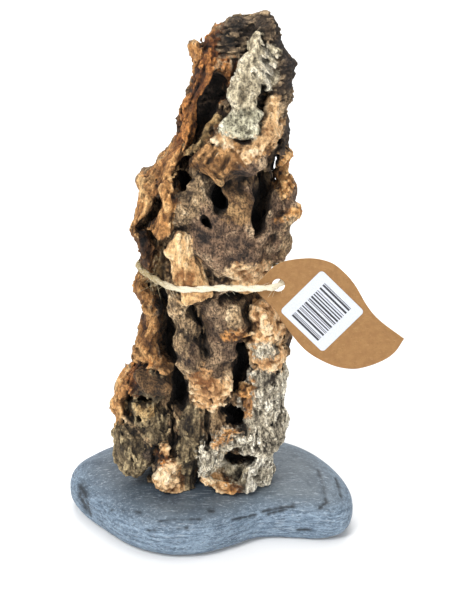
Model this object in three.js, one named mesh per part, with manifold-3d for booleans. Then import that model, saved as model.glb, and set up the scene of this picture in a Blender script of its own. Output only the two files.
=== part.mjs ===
// Upright slab of cork bark standing on a slate pebble, with jute twine round its waist and a leaf-shaped tag.
// Millimetres, +Z up, X to the right, +Y to the back.
// The origin is the middle of the flat spot under the pebble.
import * as THREE from 'three';
import { mergeVertices } from 'three/addons/utils/BufferGeometryUtils.js';
import Module from 'manifold-3d';

// Driving dimensions
const CLEARANCE = 0.3;
const MERGE_WITHIN = 1e-4;
const BARK_CELL = 4.7;
const BARK_LOW = [-68, -48, 4];
const BARK_HIGH = [60, 44, 304];
const MASS_BLEND = 3.5;
const HOLLOW_BLEND = 2;
const PLATE_BLEND = 1;
const BROAD_SHIFT = 1.3;
const FINE_SHIFT = 0.8;
const WAVES = {
  x: { broad: 5.3, drift: 6.1, fineA: 2.7, fineB: 3.3, phase: 1 },
  y: { broad: 6.7, drift: 7.9, fineA: 3.9, fineB: 3.1, phase: 2 },
  z: { broad: 5.9, drift: 7.3, fineA: 2.9, fineB: 3.7, phase: 0.7 },
};
const STONE_HEIGHT = 28;
const STONE_SIDES = 56;
const TWINE_RADIUS = 1.6;
const TWINE_SIDES = 8;
const TWINE_STEPS = 84;
const TAIL_STEPS = 8;
const KNOT_RADIUS = 3.6;
const KNOT_SIDES = 12;
const KNOT_RINGS = 8;
const TAG_THICKNESS = 0.6;
const TAG_HOLE_RADIUS = 3.3;
const TAG_HOLE_SIDES = 24;
const TAG_EDGE_STEPS = 36;
const TAG_AT = [34, -33, 157];
const TAG_LEAN = 12;
const LABEL_SIZE = [31, 30];
const LABEL_CORNER = 2;
const LABEL_THICKNESS = 0.3;
const LABEL_AT = [22.4, -13.5];
const LABEL_TURN = -44.6;
const LABEL_CORNER_STEPS = 6;
const SCREW_AT = { left: [-20, 10], right: [11, 12] };
const SCREW_RADIUS = 2;
const SCREW_HEAD_RADIUS = 4;
const SCREW_HEAD_DEPTH = 3;
const SCREW_HEAD_RIM = 0.5;
const SCREW_BOTTOM = 1.2;
const SCREW_TOP = 58;
const SCREW_SIDES = 16;

// Masses of the bark: ridges with a middle line and, at both of its ends,
// half sizes across (wide) and front to back (deep)
const MASSES = [
  // Core, and the backing behind the open cracks
  { name: 'lower core', from: [-4, 4, 37], to: [-4, 2, 91], wide: [33, 27], deep: [23, 22] },
  { name: 'middle core', from: [0, 2, 97], to: [2, 1, 179], wide: [27, 28], deep: [21, 21] },
  { name: 'upper core', from: [5, 1, 184], to: [17, 2, 233], wide: [28, 17], deep: [21, 17] },
  { name: 'top core', from: [18, 3, 238], to: [24, 4, 274], wide: [16, 10], deep: [15, 10] },
  { name: 'back left', from: [-1, 8, 233], to: [-25, 10, 166], wide: [6, 12], deep: [9, 11] },
  { name: 'back top', from: [8, 8, 266], to: [0, 9, 225], wide: [10, 12], deep: [8, 9] },
  { name: 'back low', from: [-22, 9, 135], to: [-32, 8, 69], wide: [11, 14], deep: [12, 13] },
  // Sooty crown and the broken left edge below it
  { name: 'crown', from: [26, 4, 280], to: [34, 0, 245], wide: [7, 7], deep: [11, 14] },
  { name: 'crown right', from: [36, 2, 264], to: [37, 0, 246], wide: [5, 4], deep: [11, 12] },
  { name: 'crown left', from: [12, 4, 279], to: [7, 4, 261], wide: [8, 8], deep: [10, 11] },
  { name: 'edge at the top', from: [8, 2, 281], to: [-2, 0, 264], wide: [4, 6], deep: [11, 13] },
  { name: 'edge at the neck', from: [-3, 0, 262], to: [-8, 0, 245], wide: [5, 3], deep: [13, 15] },
  { name: 'edge slope', from: [-8, 0, 245], to: [-15, 0, 223], wide: [3, 3.5], deep: [15, 17] },
  { name: 'edge shoulder', from: [-15, 0, 223], to: [-29, 0, 201], wide: [3.5, 6], deep: [17, 18] },
  { name: 'edge slab', from: [-32, 0, 199], to: [-36, 2, 177], wide: [6, 5], deep: [18, 17] },
  { name: 'edge at the waist', from: [-36, 3, 175], to: [-35, 4, 154], wide: [4, 3], deep: [16, 15] },
  // Muzzle and the grey middle
  { name: 'muzzle left', from: [5, -13, 228], to: [1, -14, 214], wide: [8, 7], deep: [14, 13] },
  { name: 'muzzle right', from: [17, -14, 228], to: [17, -16, 215], wide: [10, 9], deep: [14, 13] },
  { name: 'cream face', from: [35, -5, 242], to: [26, -11, 223], wide: [3.5, 8], deep: [8, 11] },
  { name: 'dark right side', from: [38, 2, 237], to: [35, 2, 207], wide: [3, 3.5], deep: [14, 16] },
  { name: 'brow', from: [-5, -13, 207], to: [-9, -14, 193], wide: [6, 7], deep: [12, 13] },
  { name: 'grey mass', from: [8, -10, 192], to: [8, -11, 170], wide: [26, 26], deep: [17, 17] },
  { name: 'grey chin', from: [17, -14, 188], to: [2, -14, 170], wide: [12, 13], deep: [14, 14] },
  { name: 'grey right bulge', from: [37, -6, 181], to: [33, -8, 165], wide: [6, 6], deep: [14, 14] },
  { name: 'right nub', from: [37, -4, 213], to: [37, -4, 196], wide: [3, 3.5], deep: [7, 7] },
  { name: 'right shelf', from: [43, -6, 189], to: [37, -8, 181], wide: [2, 3.5], deep: [6, 7] },
  { name: 'orange underside', from: [17, -13, 163], to: [20, -12, 154], wide: [13, 10], deep: [12, 11] },
  { name: 'tan plate', from: [-15, -16, 175], to: [-12, -16, 148], wide: [7, 7], deep: [10, 10] },
  { name: 'cork edge', from: [-17, -12, 210], to: [-22, -12, 181], wide: [5, 5], deep: [11, 11] },
  { name: 'recessed plank', from: [-26, 1, 161], to: [-26, 1, 142], wide: [5, 5], deep: [8, 8] },
  // Columns and lumps below the twine
  { name: 'left rib', from: [-32, -2, 137], to: [-33, -4, 108], wide: [5, 6], deep: [14, 14] },
  { name: 'left rib foot', from: [-32, -6, 113], to: [-26, -4, 98], wide: [6, 6], deep: [12, 12] },
  { name: 'left column', from: [-17, -13, 144], to: [-14, -14, 114], wide: [7, 7], deep: [11, 11] },
  { name: 'left column foot', from: [-14, -14, 114], to: [-6, -15, 96], wide: [7, 6], deep: [11, 11] },
  { name: 'right column', from: [4, -12, 144], to: [7, -12, 113], wide: [11, 10], deep: [12, 12] },
  { name: 'right column foot', from: [7, -12, 113], to: [1, -14, 96], wide: [10, 9], deep: [11, 11] },
  { name: 'broken lump', from: [-2, -16, 93], to: [-3, -15, 82], wide: [9, 7], deep: [11, 9] },
  { name: 'knob', from: [13, -18, 136], to: [13, -18, 127], wide: [6, 5], deep: [8, 8] },
  { name: 'right lump', from: [26, -10, 131], to: [29, -11, 109], wide: [9, 11], deep: [13, 13] },
  { name: 'right edge', from: [38, -4, 118], to: [41, -2, 103], wide: [4, 4], deep: [10, 10] },
  // Grey slab, arches and feet at the lower right
  { name: 'right slab', from: [27, -8, 95], to: [26, -9, 60], wide: [11, 12], deep: [14, 14] },
  { name: 'right slab foot', from: [26, -9, 60], to: [24, -8, 31], wide: [12, 8], deep: [14, 12] },
  { name: 'bridge', from: [-1, -20, 59], to: [18, -18, 63], wide: [4, 5], deep: [7, 8] },
  { name: 'bridge post', from: [-3, -20, 55], to: [-3, -19, 39], wide: [4, 4], deep: [7, 7] },
  { name: 'right foot', from: [-2, -20, 35], to: [14, -20, 33], wide: [3.5, 3.5], deep: [7, 7] },
  { name: 'fibrous foot', from: [24, -14, 43], to: [19, -16, 30], wide: [5, 4], deep: [7, 7] },
  // Olive columns and the stepped lumps at the lower left
  { name: 'olive column', from: [-9, -9, 75], to: [-14, -10, 48], wide: [9, 9], deep: [13, 13] },
  { name: 'olive column foot', from: [-14, -10, 48], to: [-13, -10, 30], wide: [9, 7], deep: [13, 11] },
  { name: 'olive side column', from: [1, -8, 71], to: [-4, -9, 44], wide: [6, 7], deep: [11, 11] },
  { name: 'nub foot', from: [-27, -16, 54], to: [-23, -18, 36], wide: [4, 9], deep: [8, 10] },
  { name: 'behind the nub', from: [-30, -8, 37], to: [-31, -6, 28], wide: [5, 5], deep: [10, 10] },
  { name: 'left shoulder', from: [-34, -4, 104], to: [-44, -3, 88], wide: [6, 5], deep: [14, 14] },
  { name: 'inner shoulder', from: [-30, -8, 102], to: [-33, -10, 86], wide: [7, 9], deep: [12, 12] },
  { name: 'rusty edge', from: [-47, -2, 87], to: [-51, -1, 66], wide: [4, 3.5], deep: [12, 11] },
  { name: 'small block', from: [-35, -14, 76], to: [-35, -14, 72], wide: [5, 5], deep: [5, 5] },
  { name: 'low mass', from: [-34, -6, 69], to: [-33, -6, 52], wide: [11, 11], deep: [13, 13] },
  { name: 'low lump', from: [-46, -6, 58], to: [-43, -8, 40], wide: [8, 9], deep: [14, 13] },
  { name: 'low lump front', from: [-36, -10, 53], to: [-40, -11, 41], wide: [7, 7], deep: [10, 10] },
  // Plates of the outer bark on the back
  { name: 'back plate, middle', from: [0, 17, 55], to: [4, 17, 120], wide: [9, 10], deep: [8, 7] },
  { name: 'back plate, right', from: [20, 13, 60], to: [20, 12, 112], wide: [8, 8], deep: [8, 8] },
  { name: 'back plate, left', from: [-24, 15, 50], to: [-18, 15, 108], wide: [9, 8], deep: [9, 8] },
  { name: 'back plate, high', from: [4, 15, 165], to: [12, 13, 222], wide: [9, 8], deep: [9, 8] },
  { name: 'back plate, high right', from: [24, 10, 158], to: [27, 10, 205], wide: [7, 6], deep: [9, 8] },
];

// Cracks, holes and arches cut into the masses
const HOLLOWS = [
  { name: 'top hollow', from: [4, -12, 258], to: [-4, -14, 235], wide: [6, 6], deep: [14, 14] },
  { name: 'groove by the muzzle', from: [-11, -17, 229], to: [-15, -19, 213], wide: [3.5, 3], deep: [10, 10] },
  { name: 'left hole', from: [-13, -36, 214], to: [-13, -2, 204], wide: [4, 3.5], deep: [6, 4] },
  { name: 'middle hole', from: [3, -38, 207], to: [4, 0, 195], wide: [5, 4], deep: [8, 6] },
  { name: 'slanted hole', from: [30, -10, 202], to: [24, -18, 187], wide: [4, 3], deep: [14, 13] },
  { name: 'long left crack', from: [-21, -15, 203], to: [-30, -15, 178], wide: [3.5, 3.5], deep: [16, 16] },
  { name: 'crack over the plank', from: [-29, -14, 174], to: [-24, -14, 160], wide: [5, 5], deep: [14, 14] },
  { name: 'small hole', from: [-24, -26, 181], to: [-24, -6, 174], wide: [3, 2.5], deep: [4, 3] },
  { name: 'crack at the waist', from: [-27, -16, 162], to: [-26, -14, 140], wide: [5, 4], deep: [14, 14] },
  { name: 'crack below the waist', from: [-25, -13, 139], to: [-22, -12, 110], wide: [3.5, 4], deep: [15, 15] },
  { name: 'crack at the knee', from: [-22, -12, 110], to: [-16, -12, 81], wide: [4, 5], deep: [13, 13] },
  { name: 'narrow hole', from: [17, -14, 114], to: [13, -14, 92], wide: [4, 5], deep: [14, 14] },
  { name: 'gap under the twine', from: [7, -22, 146], to: [24, -20, 144], wide: [2.5, 2.5], deep: [10, 10] },
  { name: 'upper arch', from: [10, -30, 79], to: [13, -2, 68], wide: [7, 5], deep: [8, 7] },
  { name: 'lower arch', from: [12, -32, 52], to: [17, -4, 40], wide: [7, 6], deep: [8, 6] },
  { name: 'hole over the block', from: [-34, -26, 87], to: [-35, -4, 76], wide: [5, 4], deep: [3, 3] },
  { name: 'gap between the feet', from: [-8, -36, 39], to: [-8, 0, 24], wide: [3, 3], deep: [7, 6] },
  { name: 'gap by the left foot', from: [-34, -34, 42], to: [-35, 4, 26], wide: [3.5, 4], deep: [6, 5] },
  { name: 'back fissure, left', from: [-11, 27, 45], to: [-8, 27, 125], wide: [2.5, 2.5], deep: [7, 7] },
  { name: 'back fissure, right', from: [11, 26, 50], to: [13, 24, 118], wide: [2.5, 2.5], deep: [8, 8] },
  { name: 'back fissure, high', from: [16, 25, 160], to: [20, 22, 215], wide: [2.5, 2.5], deep: [8, 8] },
];

// Pale plates lying on the upper front
const PLATES = [
  { name: 'pale plate, top', from: [25, -10, 280], to: [17, -15, 258], wide: [2, 8], deep: [3.5, 4] },
  { name: 'pale plate, foot', from: [17, -15, 258], to: [19, -17, 243], wide: [8, 4], deep: [4, 4] },
  { name: 'pale ridge', from: [29, -8, 270], to: [28, -10, 256], wide: [4, 2.5], deep: [3, 3] },
  { name: 'pale ledge', from: [15, -20, 242], to: [13, -22, 234], wide: [7, 8], deep: [4, 4] },
];

// Plan outline of the pebble at its widest, and its section as a share of that outline against height
const STONE_OUTLINE = [
  [-80, 9], [-74, -5], [-64, -18], [-46, -37], [-26, -46], [-6, -45], [11, -37], [24, -29],
  [37, -27], [51, -28], [64, -29], [73, -25], [77, -15], [77, -2], [73, 12], [66, 27],
  [57, 39], [43, 48], [20, 54], [-10, 56], [-38, 53], [-56, 47], [-70, 37], [-79, 23],
];
const STONE_SECTION = [
  [0, 0], [0.66, 0], [0.86, 0.03], [0.95, 0.1], [0.99, 0.22], [1, 0.4], [0.99, 0.58], [0.95, 0.72],
  [0.87, 0.83], [0.7, 0.93], [0.45, 0.98], [0.2, 1], [0, 1],
];

// Twine: once round the waist, over the tip of the tag and back through its hole, tied at the back
const TWINE_PATH = [
  [-1, 26, 150], [-14, 22.5, 150], [-27, 15, 151], [-37.5, 7, 152], [-37.5, -3, 153], [-32, -13, 153],
  [-26, -21, 153], [-20, -26, 152.5], [-13, -28.5, 152.5], [-5, -29, 153], [5, -30, 154], [14, -32.5, 155],
  [21, -36, 156.5], [26, -37, 157.2], [30.5, -36.6, 157.3], [34.2, -33, 157], [36.5, -27, 157], [36, -14, 156],
  [33, 0, 154], [27, 13, 152], [14, 22.5, 150.5], [1, 26, 150],
];
const TWINE_TAILS = [
  [[-1, 26.5, 149], [-4, 29, 144], [-5, 29.5, 136]],
  [[1, 26.5, 149], [5, 29.5, 145], [8, 30, 138]],
];

// Leaf-shaped tag in its own plane, measured from the middle of its hole
const TAG_UPPER = [
  [-8.5, 3.5], [0.5, 11.5], [15, 14], [26, 12], [33, 7], [39, 0], [45.5, -11], [52, -18.5], [64.5, -28],
];
const TAG_LOWER = [
  [60, -35], [54, -39.5], [45, -43], [37, -44], [26.5, -41.5], [14, -34], [3.5, -21], [-2, -12.5], [-11.5, -3],
];
const TAG_TIP = [-12.5, -0.5];

const wasm = await Module();
wasm.setup();
const root = new THREE.Group();

// Solids and back
function solidOf(geometry) {
  const bare = geometry.clone();
  for (const name of Object.keys(bare.attributes)) {
    if (name !== 'position') {
      bare.deleteAttribute(name);
    }
  }
  const merged = mergeVertices(bare, MERGE_WITHIN);
  const vertProperties = new Float32Array(merged.attributes.position.array);
  const triVerts = new Uint32Array(merged.index.array);
  return new wasm.Manifold(new wasm.Mesh({ numProp: 3, vertProperties, triVerts }));
}

function geometryOf(solid) {
  const mesh = solid.getMesh();
  const geometry = new THREE.BufferGeometry();
  geometry.setAttribute('position', new THREE.BufferAttribute(new Float32Array(mesh.vertProperties), 3));
  geometry.setIndex(new THREE.BufferAttribute(new Uint32Array(mesh.triVerts), 1));
  geometry.computeVertexNormals();
  return geometry;
}

function largestPiece(solid) {
  const pieces = solid.decompose();
  pieces.sort((a, b) => b.volume() - a.volume());
  return pieces[0];
}

function addPart(parent, name, geometry, colour, roughness, metalness) {
  const material = new THREE.MeshStandardMaterial({ color: colour, roughness, metalness });
  const mesh = new THREE.Mesh(geometry, material);
  mesh.name = name;
  parent.add(mesh);
  return mesh;
}

function vectors(points) {
  return points.map((p) => new THREE.Vector3(...p));
}

function planar(points) {
  return points.map((p) => new THREE.Vector2(...p));
}

function ringPoints(radius, sides) {
  const points = [];
  for (let side = 0; side < sides; side += 1) {
    const angle = 2 * Math.PI * side / sides;
    points.push(new THREE.Vector2(radius * Math.cos(angle), radius * Math.sin(angle)));
  }
  return points;
}

// Distance to one ridge, with its axes worked out once
const ACROSS = new THREE.Vector3(1, 0, 0);
const UPRIGHT = new THREE.Vector3(0, 0, 1);
const LEVEL_FROM = 0.75;
const TINY = 1e-6;
const FAR = 1000;

function ridgeDistance(ridge) {
  const start = new THREE.Vector3(...ridge.from);
  const axis = new THREE.Vector3(...ridge.to).sub(start);
  const length = axis.length();
  axis.divideScalar(length);
  const side = (Math.abs(axis.x) < LEVEL_FROM ? ACROSS : UPRIGHT).clone();
  side.addScaledVector(axis, -side.dot(axis)).normalize();
  const face = new THREE.Vector3().crossVectors(axis, side);
  const offset = new THREE.Vector3();
  return (point) => {
    offset.subVectors(point, start);
    const along = offset.dot(axis);
    const t = THREE.MathUtils.clamp(along / length, 0, 1);
    const wide = THREE.MathUtils.lerp(ridge.wide[0], ridge.wide[1], t);
    const deep = THREE.MathUtils.lerp(ridge.deep[0], ridge.deep[1], t);
    const cap = Math.min(wide, deep);
    const a = offset.dot(side) / wide;
    const b = offset.dot(face) / deep;
    const c = (along - t * length) / cap;
    const k0 = Math.hypot(a, b, c);
    const k1 = Math.hypot(a / wide, b / deep, c / cap);
    return k0 * (k0 - 1) / Math.max(k1, TINY);
  };
}

function smoothMin(a, b, blend) {
  const h = Math.max(blend - Math.abs(a - b), 0) / blend;
  return Math.min(a, b) - h * h * blend / 4;
}

// Slow waviness that keeps the ridges from looking turned
function wave(a, b, { broad, drift, fineA, fineB, phase }) {
  const slow = Math.sin(a / broad + Math.sin(b / drift));
  const quick = Math.sin(a / fineA + b / fineB + phase);
  return BROAD_SHIFT * slow + FINE_SHIFT * quick;
}

function waved(p, out) {
  out.x = p.x + wave(p.z, p.y, WAVES.x);
  out.y = p.y + wave(p.z, p.x, WAVES.y);
  out.z = p.z + wave(p.x, p.y, WAVES.z);
  return out;
}

function barkField() {
  const masses = MASSES.map(ridgeDistance);
  const hollows = HOLLOWS.map(ridgeDistance);
  const plates = PLATES.map(ridgeDistance);
  const bent = new THREE.Vector3();
  return (point) => {
    waved(point, bent);
    let d = FAR;
    for (const mass of masses) {
      d = smoothMin(d, mass(bent), MASS_BLEND);
    }
    for (const hollow of hollows) {
      d = -smoothMin(-d, hollow(bent), HOLLOW_BLEND);
    }
    for (const plate of plates) {
      d = smoothMin(d, plate(bent), PLATE_BLEND);
    }
    return d;
  };
}

// Closed surface of a field: one vertex for each grid cell that the surface crosses,
// and one quad for each grid edge that it crosses
const CORNERS = [[0, 0, 0], [1, 0, 0], [0, 1, 0], [1, 1, 0], [0, 0, 1], [1, 0, 1], [0, 1, 1], [1, 1, 1]];
const EDGES = [
  [0, 1], [2, 3], [4, 5], [6, 7], [0, 2], [1, 3], [4, 6], [5, 7], [0, 4], [1, 5], [2, 6], [3, 7],
];
const FACES = [[0, 1, 3, 2], [4, 5, 7, 6], [0, 1, 5, 4], [2, 3, 7, 6], [0, 2, 6, 4], [1, 3, 7, 5]];
const FILLED = -0.2;

function connected(inside, value) {
  const wanted = [];
  for (let corner = 0; corner < 8; corner += 1) {
    if (inside[corner] === value) {
      wanted.push(corner);
    }
  }
  if (wanted.length < 2) {
    return true;
  }
  const seen = new Set([wanted[0]]);
  let grown = true;
  while (grown) {
    grown = false;
    for (const [a, b] of EDGES) {
      if (inside[a] === value && inside[b] === value && seen.has(a) !== seen.has(b)) {
        seen.add(a);
        seen.add(b);
        grown = true;
      }
    }
  }
  return seen.size === wanted.length;
}

function crossedFace(inside) {
  return FACES.some(([a, b, c, d]) => {
    const paired = inside[a] === inside[c] && inside[b] === inside[d];
    return paired && inside[a] !== inside[b];
  });
}

function closedSurface(field, low, high, cell) {
  const count = low.map((value, i) => Math.ceil((high[i] - value) / cell) + 1);
  const [nx, ny, nz] = count;
  const at = (i, j, k) => (k * ny + j) * nx + i;
  const values = new Float32Array(nx * ny * nz);
  const point = new THREE.Vector3();
  for (let k = 0; k < nz; k += 1) {
    for (let j = 0; j < ny; j += 1) {
      for (let i = 0; i < nx; i += 1) {
        point.set(low[0] + i * cell, low[1] + j * cell, low[2] + k * cell);
        values[at(i, j, k)] = field(point);
      }
    }
  }
  const cellCorners = (i, j, k) => CORNERS.map(([a, b, c]) => at(i + a, j + b, k + c));
  const eachCell = (visit) => {
    for (let k = 0; k < nz - 1; k += 1) {
      for (let j = 0; j < ny - 1; j += 1) {
        for (let i = 0; i < nx - 1; i += 1) {
          visit(i, j, k);
        }
      }
    }
  };

  // Where the surface would touch itself, corners are filled until it no longer does
  let changed = true;
  while (changed) {
    changed = false;
    eachCell((i, j, k) => {
      const corners = cellCorners(i, j, k);
      const inside = corners.map((index) => values[index] < 0);
      if (connected(inside, true) && connected(inside, false) && !crossedFace(inside)) {
        return;
      }
      const outside = corners.filter((index) => values[index] >= 0);
      outside.sort((a, b) => values[a] - values[b]);
      values[outside[0]] = FILLED;
      changed = true;
    });
  }

  const vertexOf = new Map();
  const positions = [];
  eachCell((i, j, k) => {
    const corners = cellCorners(i, j, k);
    const middle = new THREE.Vector3();
    let crossings = 0;
    for (const [a, b] of EDGES) {
      const va = values[corners[a]];
      const vb = values[corners[b]];
      if (va < 0 !== vb < 0) {
        const t = va / (va - vb);
        middle.x += CORNERS[a][0] + t * (CORNERS[b][0] - CORNERS[a][0]);
        middle.y += CORNERS[a][1] + t * (CORNERS[b][1] - CORNERS[a][1]);
        middle.z += CORNERS[a][2] + t * (CORNERS[b][2] - CORNERS[a][2]);
        crossings += 1;
      }
    }
    if (crossings > 0) {
      middle.divideScalar(crossings);
      vertexOf.set(at(i, j, k), positions.length / 3);
      positions.push(low[0] + (i + middle.x) * cell);
      positions.push(low[1] + (j + middle.y) * cell);
      positions.push(low[2] + (k + middle.z) * cell);
    }
  });

  const triangles = [];
  const corner = (index) => new THREE.Vector3().fromArray(positions, 3 * index);
  const addQuad = (a, b, c, d, flipped) => {
    const ring = flipped ? [d, c, b, a] : [a, b, c, d];
    const first = corner(ring[0]).distanceTo(corner(ring[2]));
    const second = corner(ring[1]).distanceTo(corner(ring[3]));
    if (first < second) {
      triangles.push(ring[0], ring[1], ring[2], ring[0], ring[2], ring[3]);
    } else {
      triangles.push(ring[1], ring[2], ring[3], ring[1], ring[3], ring[0]);
    }
  };
  for (let k = 1; k < nz - 1; k += 1) {
    for (let j = 1; j < ny - 1; j += 1) {
      for (let i = 1; i < nx - 1; i += 1) {
        const here = values[at(i, j, k)] < 0;
        const near = (a, b, c) => vertexOf.get(at(i - a, j - b, k - c));
        if (here !== values[at(i + 1, j, k)] < 0) {
          addQuad(near(0, 1, 1), near(0, 0, 1), near(0, 0, 0), near(0, 1, 0), !here);
        }
        if (here !== values[at(i, j + 1, k)] < 0) {
          addQuad(near(1, 0, 1), near(1, 0, 0), near(0, 0, 0), near(0, 0, 1), !here);
        }
        if (here !== values[at(i, j, k + 1)] < 0) {
          addQuad(near(1, 1, 0), near(0, 1, 0), near(0, 0, 0), near(1, 0, 0), !here);
        }
      }
    }
  }
  const geometry = new THREE.BufferGeometry();
  geometry.setAttribute('position', new THREE.BufferAttribute(new Float32Array(positions), 3));
  geometry.setIndex(triangles);
  return geometry;
}

// Slate pebble: a lathe section stretched to the plan outline
function stoneGeometry() {
  const profile = STONE_SECTION.map(([share, height]) => new THREE.Vector2(share, height * STONE_HEIGHT));
  const geometry = new THREE.LatheGeometry(profile, STONE_SIDES);
  const outline = new THREE.CatmullRomCurve3(vectors(STONE_OUTLINE.map(([x, y]) => [x, y, 0])), true);
  const rim = outline.getPoints(STONE_SIDES);
  const place = geometry.attributes.position;
  const rings = STONE_SECTION.length;
  for (let index = 0; index < place.count; index += 1) {
    const spoke = rim[Math.floor(index / rings) % STONE_SIDES];
    const [share, height] = STONE_SECTION[index % rings];
    place.setXYZ(index, share * spoke.x, share * spoke.y, height * STONE_HEIGHT);
  }
  return geometry;
}

// Twine of a given thickness, with its knot and tails
function tube(points, radius, steps) {
  const section = new THREE.Shape(ringPoints(radius, TWINE_SIDES));
  const extrudePath = new THREE.CatmullRomCurve3(vectors(points));
  return new THREE.ExtrudeGeometry(section, { steps, bevelEnabled: false, extrudePath });
}

function twineSolid(spare) {
  const knot = new THREE.SphereGeometry(KNOT_RADIUS + spare, KNOT_SIDES, KNOT_RINGS);
  knot.translate(0, TWINE_PATH[0][1], TWINE_PATH[0][2]);
  let solid = solidOf(tube(TWINE_PATH, TWINE_RADIUS + spare, TWINE_STEPS)).add(solidOf(knot));
  for (const tail of TWINE_TAILS) {
    solid = solid.add(solidOf(tube(tail, TWINE_RADIUS + spare, TAIL_STEPS)));
  }
  return solid;
}

// Countersunk screw standing on its head, or with spare room the hole that clears it
function screwGeometry([x, y], spare, bottom) {
  const head = SCREW_HEAD_RADIUS + spare;
  const shaft = SCREW_RADIUS + spare;
  const rim = SCREW_BOTTOM + SCREW_HEAD_RIM + spare;
  const neck = SCREW_BOTTOM + SCREW_HEAD_DEPTH + spare;
  const tip = SCREW_TOP + spare;
  const lower = [[0, bottom], [head, bottom], [head, rim], [shaft, neck]];
  const upper = [[shaft, tip - shaft], [0, tip]];
  const profile = planar([...lower, ...upper]);
  const geometry = new THREE.LatheGeometry(profile, SCREW_SIDES);
  geometry.rotateX(Math.PI / 2);
  geometry.translate(x, y, 0);
  return geometry;
}

// Stone with its two screw holes
const stoneBlank = solidOf(stoneGeometry());
let stone = stoneBlank;
for (const place of Object.values(SCREW_AT)) {
  stone = stone.subtract(solidOf(screwGeometry(place, CLEARANCE, -CLEARANCE)));
}
addPart(root, 'stone', geometryOf(stone), 0x5f6973, 0.7, 0);

// Bark seated on the stone, with a groove for the twine and holes for the screws
let bark = solidOf(closedSurface(barkField(), BARK_LOW, BARK_HIGH, BARK_CELL));
bark = largestPiece(bark);
bark = bark.subtract(stoneBlank.translate([0, 0, CLEARANCE]));
bark = bark.subtract(twineSolid(CLEARANCE));
for (const place of Object.values(SCREW_AT)) {
  bark = bark.subtract(solidOf(screwGeometry(place, CLEARANCE, -CLEARANCE)));
}
addPart(root, 'bark', geometryOf(largestPiece(bark)), 0x9a7650, 0.92, 0);

addPart(root, 'twine', geometryOf(twineSolid(0)), 0xcdbf96, 0.95, 0);
for (const [side, place] of Object.entries(SCREW_AT)) {
  addPart(root, `screw_${side}`, screwGeometry(place, 0, SCREW_BOTTOM), 0xb8bcc0, 0.35, 1);
}

// Tag and label in the tag's own leaning plane
const tagFrame = new THREE.Group();
tagFrame.position.set(...TAG_AT);
tagFrame.rotation.x = THREE.MathUtils.degToRad(90 - TAG_LEAN);
root.add(tagFrame);

const upperEdge = new THREE.SplineCurve(planar([TAG_TIP, ...TAG_UPPER])).getPoints(TAG_EDGE_STEPS);
const lowerEdge = new THREE.SplineCurve(planar([TAG_UPPER.at(-1), ...TAG_LOWER])).getPoints(TAG_EDGE_STEPS);
const leaf = new THREE.Shape([...upperEdge, ...lowerEdge.slice(1)].reverse());
leaf.holes.push(new THREE.Path(ringPoints(TAG_HOLE_RADIUS, TAG_HOLE_SIDES)));
const card = new THREE.ExtrudeGeometry(leaf, { depth: TAG_THICKNESS, bevelEnabled: false });
card.translate(0, 0, -TAG_THICKNESS / 2);
addPart(tagFrame, 'tag', card, 0xb98a50, 0.85, 0);

const [labelWide, labelHigh] = LABEL_SIZE.map((size) => size / 2);
const sticker = new THREE.Shape();
sticker.moveTo(-labelWide + LABEL_CORNER, -labelHigh);
sticker.lineTo(labelWide - LABEL_CORNER, -labelHigh);
sticker.quadraticCurveTo(labelWide, -labelHigh, labelWide, -labelHigh + LABEL_CORNER);
sticker.lineTo(labelWide, labelHigh - LABEL_CORNER);
sticker.quadraticCurveTo(labelWide, labelHigh, labelWide - LABEL_CORNER, labelHigh);
sticker.lineTo(-labelWide + LABEL_CORNER, labelHigh);
sticker.quadraticCurveTo(-labelWide, labelHigh, -labelWide, labelHigh - LABEL_CORNER);
sticker.lineTo(-labelWide, -labelHigh + LABEL_CORNER);
sticker.quadraticCurveTo(-labelWide, -labelHigh, -labelWide + LABEL_CORNER, -labelHigh);
const paper = new THREE.ExtrudeGeometry(sticker, {
  depth: LABEL_THICKNESS,
  bevelEnabled: false,
  curveSegments: LABEL_CORNER_STEPS,
});
const label = addPart(tagFrame, 'label', paper, 0xebeef5, 0.5, 0);
label.position.set(LABEL_AT[0], LABEL_AT[1], TAG_THICKNESS / 2 + CLEARANCE);
label.rotation.z = THREE.MathUtils.degToRad(LABEL_TURN);

export default root;
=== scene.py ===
"""Upright slab of cork bark on a slate pebble, with jute twine and a leaf-shaped card tag."""
import math

import bpy
import numpy as np
import openvdb
from mathutils import Matrix, Vector


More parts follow.
